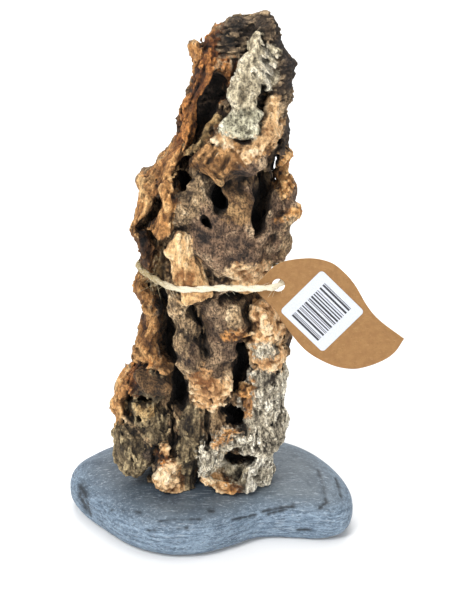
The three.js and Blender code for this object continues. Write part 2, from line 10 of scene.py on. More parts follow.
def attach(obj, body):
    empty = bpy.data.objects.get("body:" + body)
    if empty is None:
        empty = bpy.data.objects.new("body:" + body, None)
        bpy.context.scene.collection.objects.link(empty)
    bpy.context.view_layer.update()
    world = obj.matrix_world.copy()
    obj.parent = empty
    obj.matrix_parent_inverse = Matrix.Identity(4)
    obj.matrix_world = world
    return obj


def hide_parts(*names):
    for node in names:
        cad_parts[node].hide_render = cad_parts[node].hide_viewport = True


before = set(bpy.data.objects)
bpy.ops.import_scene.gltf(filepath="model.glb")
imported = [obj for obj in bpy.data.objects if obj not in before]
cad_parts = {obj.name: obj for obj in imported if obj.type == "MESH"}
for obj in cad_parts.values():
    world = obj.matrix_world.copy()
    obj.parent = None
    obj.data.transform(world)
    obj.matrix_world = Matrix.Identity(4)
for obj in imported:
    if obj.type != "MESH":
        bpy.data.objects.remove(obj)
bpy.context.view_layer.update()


# Slate pebble that carries the bark: one water-worn stone, flat underneath, with layers showing
# on its sides as thin dark streaks and with pale scuffs on top. The bark is screwed to it from below.
class Maths:
    """A value in a material's node tree: operators add Math nodes, node() adds any other node."""

    def __init__(self, tree, socket):
        self.tree = tree
        self.socket = socket

    def node(self, kind, inputs, output=0, **settings):
        made = self.tree.nodes.new("ShaderNode" + kind)
        for name, value in settings.items():
            setattr(made, name, value)
        for name, value in inputs.items():
            if isinstance(value, Maths):
                self.tree.links.new(value.socket, made.inputs[name])
            else:
                made.inputs[name].default_value = value
        return Maths(self.tree, made.outputs[output])

    def maths(self, operation, first, second):
        return self.node("Math", {0: first, 1: second}, operation=operation, use_clamp=False)

    def __add__(self, other):
        return self.maths("ADD", self, other)

    def __radd__(self, other):
        return self.maths("ADD", other, self)

    def __sub__(self, other):
        return self.maths("SUBTRACT", self, other)

    def __rsub__(self, other):
        return self.maths("SUBTRACT", other, self)

    def __mul__(self, other):
        return self.maths("MULTIPLY", self, other)

    def __rmul__(self, other):
        return self.maths("MULTIPLY", other, self)

    def above(self, low, high):
        """0 below low, 1 above high, smooth between."""
        steps = {"Value": self, "From Min": low, "From Max": high, "To Min": 0.0, "To Max": 1.0}
        return self.node("MapRange", steps, interpolation_type="SMOOTHSTEP")

    def stretched(self, scale):
        """This position with each axis scaled."""
        return self.node("VectorMath", {0: self, 1: scale}, operation="MULTIPLY")

    def noise(self, scale, detail=3.0, roughness=0.55):
        inputs = {"Vector": self, "Scale": scale, "Detail": detail, "Roughness": roughness}
        return self.node("TexNoise", inputs)

    def mixed(self, colour, other):
        """By this share from one colour to another."""
        return self.node("Mix", {0: self, 6: colour, 7: other}, output=2, data_type="RGBA")

    def times(self, colour, other):
        """By this share from a colour to that colour times another."""
        inputs = {0: self, 6: colour, 7: other}
        return self.node("Mix", inputs, output=2, data_type="RGBA", blend_type="MULTIPLY")


def srgb(red, green, blue):
    """A colour given in 0 to 255 as linear values."""
    shares = np.array([red, green, blue]) / 255
    low = shares / 12.92
    high = ((shares + 0.055) / 1.055) ** 2.4
    return (*np.where(shares <= 0.04045, low, high).tolist(), 1.0)


def new_material(name, roughness):
    """A material, its shader node and the surface position in metres."""
    material = bpy.data.materials.new(name)
    material.use_nodes = True
    shader = material.node_tree.nodes["Principled BSDF"]
    shader.inputs["Roughness"].default_value = roughness
    coordinates = material.node_tree.nodes.new("ShaderNodeTexCoord")
    return material, shader, Maths(material.node_tree, coordinates.outputs["Object"])


def feed(shader, **values):
    """Links values to the shader's sockets by name."""
    for name, value in values.items():
        value.tree.links.new(value.socket, shader.inputs[name.replace("_", " ")])


def bumped(height, strength, distance):
    """A normal from a height."""
    return height.node("Bump", {"Height": height, "Strength": strength, "Distance": distance})


MM = 0.001
SPAN_STEPS = 24


def add_object(name, data):
    """An object in the scene."""
    made = bpy.data.objects.new(name, data)
    bpy.context.scene.collection.objects.link(made)
    return made


def add_piece(name, mesh, node=None, matrix=Matrix()):
    """A mesh as a piece of the object, in place of a solid where one is named."""
    piece = add_object(name, mesh)
    piece.matrix_world = matrix
    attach(piece, "root")
    if node:
        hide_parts(node)
    return piece


def mesh_piece(name, points, faces, material, node=None):
    """Points in millimetres and faces as a piece of the object."""
    mesh = bpy.data.meshes.new(name)
    mesh.from_pydata(np.asarray(points) * MM, [], faces)
    mesh.materials.append(material)
    mesh.shade_smooth()
    return add_piece(name, mesh, node)


def lengths_along(line):
    """How far along a line each of its points is."""
    return np.concatenate([[0], np.cumsum(np.linalg.norm(np.diff(line, axis=0), axis=1))])


def smooth_line(points, steps, closed=False):
    """Points evenly along a Catmull-Rom line through the given ones."""
    points = np.asarray(points, float)
    count = len(points)
    if closed:
        before, after, last = np.roll(points, 1, 0), np.roll(points, -1, 0), np.roll(points, -2, 0)
        spans = count
    else:
        padded = np.vstack([2 * points[0] - points[1], points, 2 * points[-1] - points[-2]])
        before, points, after, last = padded[:-3], padded[1:-2], padded[2:-1], padded[3:]
        spans = count - 1
    fine = []
    shares = np.linspace(0, 1, SPAN_STEPS, endpoint=False)[:, None]
    for i in range(spans):
        a, b, c, d = before[i], points[i], after[i], last[i]
        bend = 2 * b + (c - a) * shares + (2 * a - 5 * b + 4 * c - d) * shares ** 2
        fine.append((bend + (3 * b - a - 3 * c + d) * shares ** 3) / 2)
    fine.append(points[:1] if closed else after[-1:])
    fine = np.vstack(fine)
    along = lengths_along(fine)
    places = np.linspace(0, along[-1], steps, endpoint=not closed)
    return np.stack([np.interp(places, along, fine[:, axis]) for axis in range(fine.shape[1])], 1)


def ring_faces(rings, sides):
    """Quads between closed rings of points."""
    ring, side = np.meshgrid(np.arange(rings - 1), np.arange(sides), indexing="ij")
    after = (side + 1) % sides
    low, high = ring * sides, (ring + 1) * sides
    return np.stack([low + side, low + after, high + after, high + side], -1).reshape(-1, 4)


STONE_HEIGHT = 28
STONE_OUTLINE = [
    (-80, 9), (-74, -5), (-64, -18), (-46, -37), (-26, -46), (-6, -45), (11, -37), (24, -29),
    (37, -27), (51, -28), (64, -29), (73, -25), (77, -15), (77, -2), (73, 12), (66, 27),
    (57, 39), (43, 48), (20, 54), (-10, 56), (-38, 53), (-56, 47), (-70, 37), (-79, 23),
]
STONE_SECTION = [
    (0, 0), (0.66, 0), (0.86, 0.03), (0.95, 0.1), (0.99, 0.22), (1, 0.4), (0.99, 0.58), (0.95, 0.72),
    (0.87, 0.83), (0.7, 0.93), (0.45, 0.98), (0.2, 1), (0, 1),
]
# Clefts where layers have split: their two ends and half width
CLEFTS = [
    ((27.6, -26.9, 18.7), (43.9, -25.4, 21.6), 0.9),
    ((30.3, -27.2, 17.0), (39.5, -26.1, 19.5), 0.7),
    ((-34.9, -42.4, 17.0), (-13.4, -44.6, 19.6), 0.6),
    ((-44, -36, 15), (-20, -45, 15.5), 0.5),
    ((11.2, -35.5, 19.0), (24.3, -28.2, 17.6), 0.6),
    ((-74, 0, 19), (-71, -7, 18), 2.4),
    ((-69, -11, 15), (-67.7, -13.5, 8.5), 1.4),
    ((-73.5, -3, 16), (-70.5, -9, 12), 2.6),
    ((59.2, 8, 24.5), (61.9, -22.3, 23.5), 0.8),
    ((68.8, 2.8, 22.5), (70.6, -15.5, 21.2), 0.9),
    ((58.5, -27, 21.3), (62.4, -23.6, 23), 0.9),
    ((46.7, -27.6, 7.7), (53.3, -28.2, 8), 0.7),
    ((-55.7, -24.6, 18.6), (-38.9, -33.6, 22.8), 0.5),
    ((-27.9, -40.9, 21.8), (-6.5, -40.4, 22.7), 0.5),
    ((-1.5, -35, 24.5), (1, -35.3, 24.5), 1.3),
    ((74, 14, 14), (70, 22, 15), 0.8),
    ((-60, 44, 16), (-30, 54, 18), 0.8),
    ((5, 55, 14), (38, 50, 13), 0.7),
]
CLEFT_DEPTH = 0.7
CLEFT_EDGE = 0.25
CLEFT_RAGGED = 0.6
LEDGE_DEPTH = 0.12
BROAD_SWELL = 0.3
FINE_SWELL = 0.18
SWELL_START = 9
FLANK_TOP = 0.92
FLANK_FADE = 0.3
STONE_SIDES = 360
SECTION_STEPS = 200
SPARSE_STEP = 6
RIM_START = 0.6
UNDERSIDE = 0.01
HUB = 0.002

# Rings lie close together on the rim and further apart on the flat middle and the underside
rim = smooth_line(STONE_OUTLINE, STONE_SIDES, closed=True)
section = smooth_line(STONE_SECTION, SECTION_STEPS)
close = (section[:, 0] > RIM_START) & (section[:, 1] > UNDERSIDE)
section = section[close | (np.arange(SECTION_STEPS) % SPARSE_STEP == 0)]
section[:, 0] = np.clip(section[:, 0], HUB, 1)
section[:, 1] = np.clip(section[:, 1], 0, 1)
stone_points = np.zeros((len(section), STONE_SIDES, 3))
stone_points[:, :, :2] = section[:, None, :1] * rim[None]
stone_points[:, :, 2] = section[:, None, 1] * STONE_HEIGHT
x, y, z = np.moveaxis(stone_points.copy(), -1, 0)
flank = np.clip((FLANK_TOP - section[:, 1:]) / FLANK_FADE, 0, 1) * np.ones_like(x)
cleft = np.zeros_like(x)
for start, end, width in CLEFTS:
    start, way = np.array(start), np.array(end) - start
    share = np.clip((stone_points - start) @ way / way.dot(way), 0, 1)
    away = np.linalg.norm(stone_points - start - share[..., None] * way, axis=-1)
    ragged = width * (1 + CLEFT_RAGGED * np.sin(share * 9 + start[0]) * np.sin(share * 23))
    cleft = np.maximum(cleft, np.exp(-(away / (ragged + CLEFT_EDGE)) ** 2))
# Low waves in the worn top, thin ledges where layers end on the sides, and the clefts
swell = BROAD_SWELL * np.sin(x / 11 + 1.3) * np.sin(y / 9) + FINE_SWELL * np.sin(x / 5.1 + y / 6.3)
layer = np.sin((z + 0.05 * x + 0.8 * np.sin(x / 13)) * 2.1)
inward = LEDGE_DEPTH * np.clip(layer * 3, -1, 1) * flank ** 3 - CLEFT_DEPTH * cleft
stone_points[:, :, 2] += (swell - CLEFT_DEPTH * cleft * (1 - flank)) * np.clip(z / SWELL_START - 1, 0, 1)
stone_points[:, :, :2] += (inward * flank / np.linalg.norm(rim, axis=1))[..., None] * rim[None]
stone_faces = ring_faces(len(section), STONE_SIDES).tolist()
stone_faces.append(range(STONE_SIDES - 1, -1, -1))
stone_faces.append(range((len(section) - 1) * STONE_SIDES, len(section) * STONE_SIDES))

slate, shader, place = new_material("slate", 0.62)
flank_share = place.node("Attribute", {}, output="Fac", attribute_name="flank")
cleft_share = place.node("Attribute", {}, output="Fac", attribute_name="cleft")
cloud = place.noise(45, 5, 0.6)
speckle = place.stretched((0.6, 0.8, 1.3)).noise(900, 4, 0.75)
grain_cloud = place.stretched((0.4, 0.55, 2.4)).noise(260, 5, 0.75)
streak = place.stretched((20, 26, 190)).noise(6, 5, 0.7)
scuff = place.stretched((30, 420, 420)).noise(2.5, 4, 0.6)
# The top is painted lighter towards the right, where more light falls: painted light.
painted_light_sweep = place.node("SeparateXYZ", {0: place}).above(-0.06, 0.07)
top_tone = (cloud.above(0.3, 0.7) * 0.5 + painted_light_sweep * 0.5).mixed(srgb(40, 53, 67), srgb(104, 114, 121))
# The sides are a lighter, bluer slate than the top; part of that lightness and blue is painted sky
# reflection.
side_tone_and_sky_reflection = grain_cloud.above(0.36, 0.64).mixed(srgb(82, 100, 118), srgb(133, 153, 171))
colour = flank_share.mixed(top_tone, side_tone_and_sky_reflection)
colour = (speckle.above(0.54, 0.66) * (0.25 + flank_share * 0.35)).mixed(colour, srgb(178, 194, 208))
colour = (speckle.above(0.47, 0.36) * (0.3 + flank_share * 0.3)).mixed(colour, srgb(52, 62, 74))
colour = (scuff.above(0.59, 0.69) * 0.55).mixed(colour, srgb(166, 175, 183))
colour = (streak.above(0.55, 0.66) * (0.15 + flank_share * 0.5)).mixed(colour, srgb(48, 60, 74))
# The clefts are painted near black along broken stretches: painted shade in the splits.
broken = place.stretched((1, 1, 3)).noise(160, 5, 0.75).above(0.2, 0.42)
colour = (cleft_share * broken * 0.95).mixed(colour, srgb(20, 25, 31))
height = speckle * 0.7 + grain_cloud * 0.5 - streak.above(0.58, 0.66) * 0.8
feed(shader, Base_Color=colour, Roughness=0.5 + scuff * 0.25, Normal=bumped(height, 0.55, 0.0007))
pebble = mesh_piece("slate_pebble", stone_points.reshape(-1, 3), stone_faces, slate, "stone")
for name, values in (("flank", flank), ("cleft", cleft)):
    attribute = pebble.data.attributes.new(name, "FLOAT", "POINT")
    attribute.data.foreach_set("value", values.astype(np.float32).ravel())


# Cork bark: one gnarled piece broken from the trunk, standing on its end. Weathered outer bark, spongy inner
# cork and torn layered edges all show, so each of its masses carries the finish that the real one has there.
BARK_CELL = 0.7
BARK_LOW = np.array([-62.0, -46.0, 22.0])
BARK_HIGH = np.array([52.0, 36.0, 298.0])
MASS_BLEND = 3.0
HOLLOW_BLEND = 1.8
PLATE_BLEND = 0.9
MASS_REACH = 9
HOLLOW_REACH = 6
STAIN_REACH = 2
FAR = 12.0
GROOVE_REACH = 6
GROOVE_SHIFT = 0.35
BROAD_SHIFT = 1.3
FINE_SHIFT = 0.8

# Each finish: its middle, dark and light tone, how speckled it is, and how far each grain lifts it
FINISHES = {
    "bark": ((104, 80, 55), (40, 30, 22), (158, 132, 98), 0.7,
        dict(lump=0.6, crumb=0.25, upright=0.8, crack=1.5)),
    "soot": ((74, 60, 46), (18, 15, 12), (172, 148, 116), 0.7,
        dict(lump=0.4, crumb=0.25, level=0.75, crack=0.5)),
    # Dark charred bark, also laid on as painted shade in hollows, cracks and shaded sides
    "char": ((40, 32, 26), (13, 11, 10), (94, 79, 65), 0.7,
        dict(lump=0.5, crumb=0.35, level=0.25, crack=0.8)),
    "rust": ((110, 64, 30), (40, 22, 12), (190, 128, 68), 0.6,
        dict(lump=0.4, crumb=0.25, slant=0.9, flake=0.3, pit=0.6)),
    "umber": ((76, 50, 31), (24, 16, 11), (146, 104, 64), 0.6,
        dict(lump=0.4, crumb=0.25, upright=0.6, flake=0.3, pit=0.6)),
    "plank": ((152, 103, 56), (76, 46, 24), (206, 156, 98), 0.55,
        dict(lump=0.35, crumb=0.2, slant=0.65, flake=0.2, pit=0.6)),
    "rind": ((142, 98, 54), (66, 40, 22), (194, 148, 94), 0.6,
        dict(lump=0.35, crumb=0.2, slant=0.5, flake=0.2, pit=0.7)),
    "split": ((188, 136, 80), (98, 62, 32), (234, 192, 134), 0.5,
        dict(lump=0.25, crumb=0.2, upright=0.55, pit=0.6)),
    "worn": ((154, 124, 80), (70, 52, 32), (204, 176, 126), 0.7,
        dict(lump=0.4, crumb=0.25, slant=0.45, pit=0.5)),
    "cork": ((192, 136, 76), (92, 56, 28), (236, 192, 134), 0.5,
        dict(lump=0.55, crumb=0.3, flake=0.45, pit=1.6)),
    "cream": ((219, 171, 117), (130, 85, 48), (250, 222, 180), 0.4,
        dict(lump=0.55, crumb=0.25, flake=0.45, pit=1.8)),
    "ivory": ((220, 180, 130), (146, 102, 60), (250, 228, 192), 0.4,
        dict(lump=0.15, crumb=0.12, upright=0.3, flake=0.15, pit=0.6)),
    "chalk": ((240, 204, 156), (150, 106, 66), (253, 232, 198), 0.45,
        dict(lump=0.4, crumb=0.2, flake=0.35, pit=1.8)),
    "fold": ((130, 91, 51), (66, 44, 26), (202, 154, 100), 0.5,
        dict(lump=0.2, crumb=0.12, wrinkle=0.5)),
    "suede": ((114, 90, 70), (44, 35, 31), (182, 158, 128), 1.0,
        dict(lump=0.55, crumb=0.15)),
    "dusk": ((88, 69, 53), (36, 29, 24), (150, 126, 99), 1.0,
        dict(lump=0.5, crumb=0.15)),
    "fawn": ((112, 84, 54), (46, 34, 22), (166, 134, 92), 0.9,
        dict(lump=0.45, crumb=0.15)),
    "ash": ((164, 138, 104), (70, 56, 42), (208, 186, 152), 0.9,
        dict(lump=0.4, crumb=0.25, flake=0.15, crack=0.6)),
    "tan": ((230, 186, 130), (146, 100, 58), (250, 222, 176), 0.4,
        dict(lump=0.25, crumb=0.15, upright=0.5, pit=1.0)),
    "olive": ((108, 93, 68), (36, 29, 21), (178, 160, 123), 0.75,
        dict(lump=0.4, crumb=0.3, upright=0.6, crack=0.6)),
    "lichen": ((175, 166, 146), (44, 38, 31), (232, 227, 211), 0.9,
        dict(lump=0.3, crumb=0.38, upright=0.65, crack=1.0)),
    "pale": ((204, 192, 163), (116, 105, 84), (232, 224, 204), 0.7,
        dict(lump=0.3, crumb=0.3, flake=0.2)),
    "sage": ((172, 168, 144), (92, 86, 68), (222, 218, 198), 0.8,
        dict(lump=0.15, crumb=0.2, flake=0.15, crack=0.3)),
    "fibre": ((216, 210, 194), (98, 88, 70), (244, 240, 229), 0.7,
        dict(lump=0.3, crumb=0.2, upright=0.8)),
}
# Each grain: how far apart its bumps are across and along its direction
GRAINS = {
    "lump": (9, 9, (0, 0, 1)),
    "flake": (4, 4, (0, 0, 1)),
    "crumb": (2.1, 2.1, (0, 0, 1)),
    "upright": (3.2, 17, (0.05, 0, 1)),
    "level": (2.4, 22, (1, 0, 0.1)),
    "slant": (2.8, 18, (0.42, 0, 0.91)),
    "wrinkle": (3.2, 20, (0.75, 0.2, -0.65)),
    "crack": (5, 16, (0, 0, 1)),
    "pit": (4.5, 4.5, (0, 0, 1)),
}
# Each ridge: a name, the two ends of its middle line, its half width and its half depth, as a pair where
# they differ between the ends
MASSES = {"bark": [
    ("lower core", (-4, 4, 37), (-4, 2, 91), (33, 27), (23, 22)),
    ("middle core", (0, 2, 97), (2, 1, 179), (27, 28), 21),
    ("upper core", (5, 1, 184), (17, 2, 233), (28, 17), (21, 17)),
    ("back left", (-1, 8, 233), (-25, 10, 166), (6, 12), (9, 11)),
    ("back top", (8, 8, 266), (0, 9, 225), (10, 12), (8, 9)),
    ("behind left crack", (-21, 7, 208), (-33, 8, 176), 6, 7),
    ("back low", (-22, 9, 135), (-32, 8, 69), (11, 14), (12, 13)),
    ("back plate, middle", (0, 17, 55), (4, 17, 120), (9, 10), (8, 7)),
    ("back plate, right", (20, 13, 60), (20, 12, 112), 8, 8),
    ("back plate, left", (-24, 15, 50), (-18, 15, 108), (9, 8), (9, 8)),
    ("back plate, high", (4, 15, 165), (12, 13, 222), (9, 8), (9, 8)),
    ("back plate, high right", (24, 10, 158), (27, 10, 205), (7, 6), (9, 8)),
    ("right edge", (38, -4, 123), (39, -3, 109), 4, 10),
    ("behind nub", (-30, -8, 37), (-31, -6, 28), 5, 10),
], "soot": [
    ("top core", (18, 3, 238), (24, 4, 274), (16, 10), (15, 10)),
    ("crown", (26, 4, 280), (34, 0, 245), 7, (11, 14)),
    ("crown left", (12, 3, 279), (7, 2, 262), 8, 11),
], "char": [
    ("crown shoulder", (33.5, 2, 273), (36, 2, 265), (3.5, 4), (8, 9)),
    ("crown right", (36, 2, 264), (35, 0, 246), (4.5, 4), (11, 12)),
    ("dark right side", (35.5, 2, 237), (33.5, 2, 207), (3, 3.5), (14, 16)),
], "rust": [
    ("edge at top", (4, 4, 279), (-3, 2, 264), (3.5, 5.5), (8, 11)),
    ("edge at neck", (-3, 0, 262), (-8, 0, 245), (5, 3), (13, 15)),
    ("edge slope", (-8, 0, 245), (-15, 0, 223), (3, 3.5), (15, 17)),
    ("left shoulder", (-31.5, -4, 104), (-41.5, -3, 88), (6, 5), 14),
], "plank": [
    ("edge shoulder", (-15, 0, 223), (-28, 0, 200), (3.5, 5), (17, 18)),
], "split": [
    ("edge slab", (-33, 0, 199), (-37, 2, 178), (5.3, 2.8), (17, 15)),
    ("rusty edge", (-47, -2, 87), (-51, -1, 66), (4, 3.5), (12, 11)),
], "umber": [
    ("edge at waist", (-36, 2, 175), (-33.4, 3, 150), (4, 3.8), (16, 13)),
], "rind": [
    ("left rib", (-32, -2, 137), (-33, -4, 108), (5, 6), 14),
    ("left rib, top", (-36.5, -2, 146), (-35, -3, 136), (3.2, 3.8), (11, 12)),
    ("left rib foot", (-32, -6, 113), (-26, -4, 98), 6, 12),
], "cork": [
    ("thumb", (-6.8, 0, 271), (-6.5, -2, 260), (2.4, 3.5), (4, 5)),
    ("right nub", (37.3, -5, 216), (37, -5, 197), (3.9, 4.2), (7, 8)),
    ("right shelf", (44, -6, 189), (36, -9, 182), (2.5, 5), (7, 9)),
    ("cork edge", (-18, -12, 207), (-26, -12, 180), 4.5, 11),
    ("right foot, low", (6, -19, 31), (14, -19, 31), 3, 6),
], "fold": [
    ("muzzle", (3, -13, 221), (19, -14, 222), (9, 10), (14, 15)),
    ("flap", (5, -17, 230), (-5, -17, 217), (7, 5), 8),
    ("flap edge", (-5, -18, 218), (7, -20, 212), 2.5, (8, 9)),
], "cream": [
    ("cream face", (33.5, -4, 246), (30, -9, 233), (3.5, 5.5), (7, 9)),
    ("cream fold", (30, -9, 233), (21, -14, 224), (5.5, 6), (9, 10)),
    ("broken lump", (-1, -16, 95), (-2, -15, 86), (11, 10), (11, 10)),
    ("broken lump, left", (-9, -16, 98), (-9.5, -16, 92), 4, 9),
    ("broken lump, right", (7, -16, 98), (9, -16, 92), (4.5, 4), 9),
    ("right lump", (26, -10, 131), (29, -11, 109), (9, 11), 13),
    ("nub foot", (-27, -16, 54), (-23, -18, 36), (4, 9), (8, 10)),
    ("right foot", (-1, -20, 36), (4, -21, 33), 4, 6),
], "suede": [
    ("grey mass", (8, -10, 192), (8, -11, 170), 26, 17),
    ("grey chin", (17, -14, 188), (2, -14, 170), (12, 13), 14),
    ("under right nub", (38, -3, 201), (38, -5, 188), (4, 5), (8, 9)),
    ("grey right bulge", (37, -6, 181), (33, -8, 165), 6, 14),
], "dusk": [
    ("right column", (4, -12, 144), (7, -12, 113), (11, 10), 12),
    ("right column foot", (7, -12, 113), (1, -14, 96), (10, 9), 11),
], "ash": [
    ("brow", (-5, -13, 207), (-9, -14, 193), (6, 7), (12, 13)),
    ("brow, side", (-16, -13, 201), (-15, -14, 188), (4, 4.5), (10, 11)),
    ("left column", (-17, -13, 144), (-14, -14, 114), 7, 11),
    ("left column foot", (-14, -14, 114), (-6, -15, 96), (7, 6), 11),
    ("knob", (13, -18, 136), (13, -18, 127), (6, 5), 8),
], "tan": [
    ("cream underside", (17, -13, 163), (20, -12, 154), (13, 10), (12, 11)),
    ("recessed plank", (-26, 1, 161), (-26, 1, 142), 5, 8),
], "worn": [
    ("small block", (-35, -14, 76), (-35, -14, 72), 5, 5),
], "olive": [
    ("inner shoulder", (-30, -8, 102), (-33, -10, 86), (7, 9), 10),
    ("olive column", (-9, -9, 75), (-14, -10, 48), 9, 13),
    ("olive column foot", (-14, -10, 48), (-13, -10, 30), (9, 7), (13, 11)),
    ("olive side column", (1, -8, 71), (-4, -9, 44), (6, 7), 11),
    ("low mass", (-34, -6, 69), (-33, -6, 52), 11, 13),
    ("low lump", (-46, -6, 58), (-43, -8, 40), (8, 9), (14, 13)),
    ("low lump front", (-36, -10, 53), (-40, -11, 41), 7, 10),
], "lichen": [
    ("right slab", (27, -8, 95), (26, -9, 60), (11, 12), 14),
    ("right slab foot", (26, -9, 60), (24, -8, 31), (12, 8), (14, 12)),
    ("right flange", (38, 0, 89), (37, 2, 57), (2, 2.5), 10),
    ("bridge", (-1, -20, 59), (18, -18, 63), (4, 5), (7, 8)),
    ("bridge post", (-3, -20, 55), (-3, -19, 39), 4, 7),
], "fibre": [
    ("fibrous foot", (24, -16, 45), (19, -19, 31), 4.5, 7),
]}
HOLLOWS = [
    ("notch by thumb", (-2.4, -16, 275), (-2.4, 16, 275), 1.4, 4),
    ("top hollow", (4, -12, 258), (-4, -14, 235), 6, 14),
    ("groove by muzzle", (-11, -17, 229), (-15, -19, 213), (3.5, 3), 10),
    ("left hole", (-14, -36, 213), (-14, -2, 202), (5, 4.5), (7, 6)),
    ("middle hole", (3.4, -40, 206.4), (3.3, -2, 191), (4.6, 4.2), (7, 6)),
    ("lower hole", (-3.2, -38, 193.3), (-3.4, -6, 180), (2.6, 2.4), (3, 2.6)),
    ("slanted hole", (27, -14, 208), (23, -18, 184), (4.5, 5.5), 17),
    ("gap by right nub", (34, -2, 217), (32.3, -5, 202), 1.6, (17, 16)),
    ("long left crack", (-20, -15, 209), (-35, -15, 177), (2.4, 2.6), 16),
    ("crack over plank", (-29, -14, 174), (-24, -14, 160), 5, 14),
    ("small hole", (-24, -26, 181), (-24, -6, 174), (3, 2.5), (4, 3)),
    ("crack at waist", (-27, -16, 162), (-26, -14, 140), (5, 4), 14),
    ("crack below waist", (-25, -13, 139), (-22, -12, 110), (3.5, 4), 15),
    ("crack at knee", (-22, -12, 110), (-16, -12, 81), (4, 5), 13),
    ("slit", (-9.5, -18, 136), (-8, -18, 126), (2.2, 1.6), 10),
    ("slit, middle", (-7.5, -19, 127), (-6, -19, 120), (1.2, 1), 9),
    ("slit, foot", (-4.5, -21, 119), (-2, -21, 109), (1.5, 1.2), 6),
    ("narrow hole", (17, -14, 114), (13, -14, 92), (4, 5), 14),
    ("gap under twine", (7, -22, 146), (24, -20, 144), 2.5, 10),
    ("gap by knob", (19, -20, 143), (18, -20, 125), (2, 1.5), 8),
    ("upper arch", (10, -30, 79), (13, -2, 68), (7, 5), (8, 7)),
    ("lower arch", (16, -32, 51), (16.5, -4, 44), (9, 8), (4.6, 4.2)),
    ("dish of lower arch", (9, -31, 48), (9, -21, 41), (8, 7), (8, 7)),
    ("hole over block", (-34, -26, 87), (-35, -4, 76), (5, 4), 3),
    ("pit by block", (-38.5, -26, 74), (-38.5, -9, 67), (2.8, 2.5), (3, 2.5)),
    ("gap between feet", (-8, -36, 39), (-8, 0, 24), 3, (7, 6)),
    ("gap by left foot", (-34, -34, 42), (-35, 4, 26), (3.5, 4), (6, 5)),
    ("left seam", (-40, -16, 100.5), (-25, -17, 100), 1.1, 5),
    ("overhang", (7, -33, 212), (23, -30, 209), 2.5, 6),
    ("groove in grey mass", (29, -26, 181), (18, -29, 170), (1.8, 1.5), (4, 3)),
    ("recess by low mass", (-22, -15, 80), (-22, -21, 53), (1.8, 1.6), 8),
    ("recess between olive columns", (-2, -22, 76), (-3.5, -21, 57), (1.5, 1.3), 6),
    ("gap beside low lump", (-29.5, -24, 55), (-33, -24, 40), (2.2, 2.4), 9),
    ("back fissure, left", (-11, 27, 45), (-8, 27, 125), 2.5, 7),
    ("back fissure, right", (11, 26, 50), (13, 24, 118), 2.5, 8),
    ("back fissure, high", (16, 25, 160), (20, 22, 215), 2.5, 8),
    ("back fissure, far left", (-24, 24, 62), (-19, 22, 118), 2.2, 7),
    ("back fissure, top", (4, 22, 170), (9, 18, 245), (2.2, 2), 7),
    ("back fissure, far right", (25, 20, 150), (27, 18, 205), 2, 7),
    ("back cross crack", (-18, 25, 128), (8, 26, 134), 1.8, 5),
]
PLATES = {"pale": [
    ("plate tip", (24.6, -9, 281), (20, -13, 266), (2, 8), (3, 3.5)),
    ("plate middle", (20, -13, 266), (16, -15, 257), (8, 9), (3.5, 4)),
    ("plate neck", (16, -15, 257), (18, -17, 245), (9, 5.5), 4),
    ("folded side", (28, -8, 273), (27, -10, 258), (5, 4), 3),
    ("fold, first", (24, -12, 276), (32, -9, 269), 1.4, 2.5),
    ("fold, second", (23, -13, 272), (31, -10, 264), 1.4, 2.5),
    ("fold, third", (23, -14, 267.5), (29.5, -11, 259.5), 1.4, 2.5),
    ("fold, fourth", (23, -15, 262.5), (28, -12, 254.5), 1.4, 2.5),
], "ash": [
    ("ridge on low lump", (-48, -11, 67), (-37, -18, 58), (1.6, 1.8), 3.5),
], "sage": [
    ("pale ledge", (14, -19, 244), (12.5, -22.5, 234.5), (4, 9), 2.5),
    ("pale ledge, right", (15, -20, 241), (23, -22, 235), 4, 2.5),
    ("pale ledge, waist", (17, -18.5, 247), (23.5, -20.5, 240), (3.5, 4), 2.5),
], "ivory": [
    ("cream band", (32, -12.5, 249), (29.5, -18, 234), (3, 5), 2.5),
    ("cream band, low", (29, -18, 235), (20, -25, 225.5), (5, 4.5), 3),
], "cream": [
    ("nodule", (2, -21.5, 231), (5, -21.5, 230), 3, 3.5),
], "tan": [
    ("tan plate, top", (-17, -21.5, 180), (-14.5, -23, 172), (3, 7.5), 4.5),
    ("tan plate", (-14.5, -23, 172), (-13, -23, 157), (7.5, 8), 4.5),
    ("tan plate, foot", (-13, -23, 158), (-8, -24, 147), 8, 4.5),
], "split": [
    ("cork edge, front", (-20.5, -20, 207), (-25, -20, 183), (3, 4.5), 4.5),
], "worn": [
    ("twig", (3.4, -12, 238), (-11.5, -15, 221.5), (1.8, 2.2), 2.5),
], "fawn": [
    ("lip", (-38, -16, 95), (-27, -17, 91.5), (4.5, 5), (4.5, 5)),
], "fold": [
    ("ledge over lip", (-39, -9, 105), (-25, -13, 101.5), (2.6, 2.8), 7),
], "cork": [
    ("rim ball", (15.5, -16, 90), (17.5, -16, 89), 3, 4),
]}
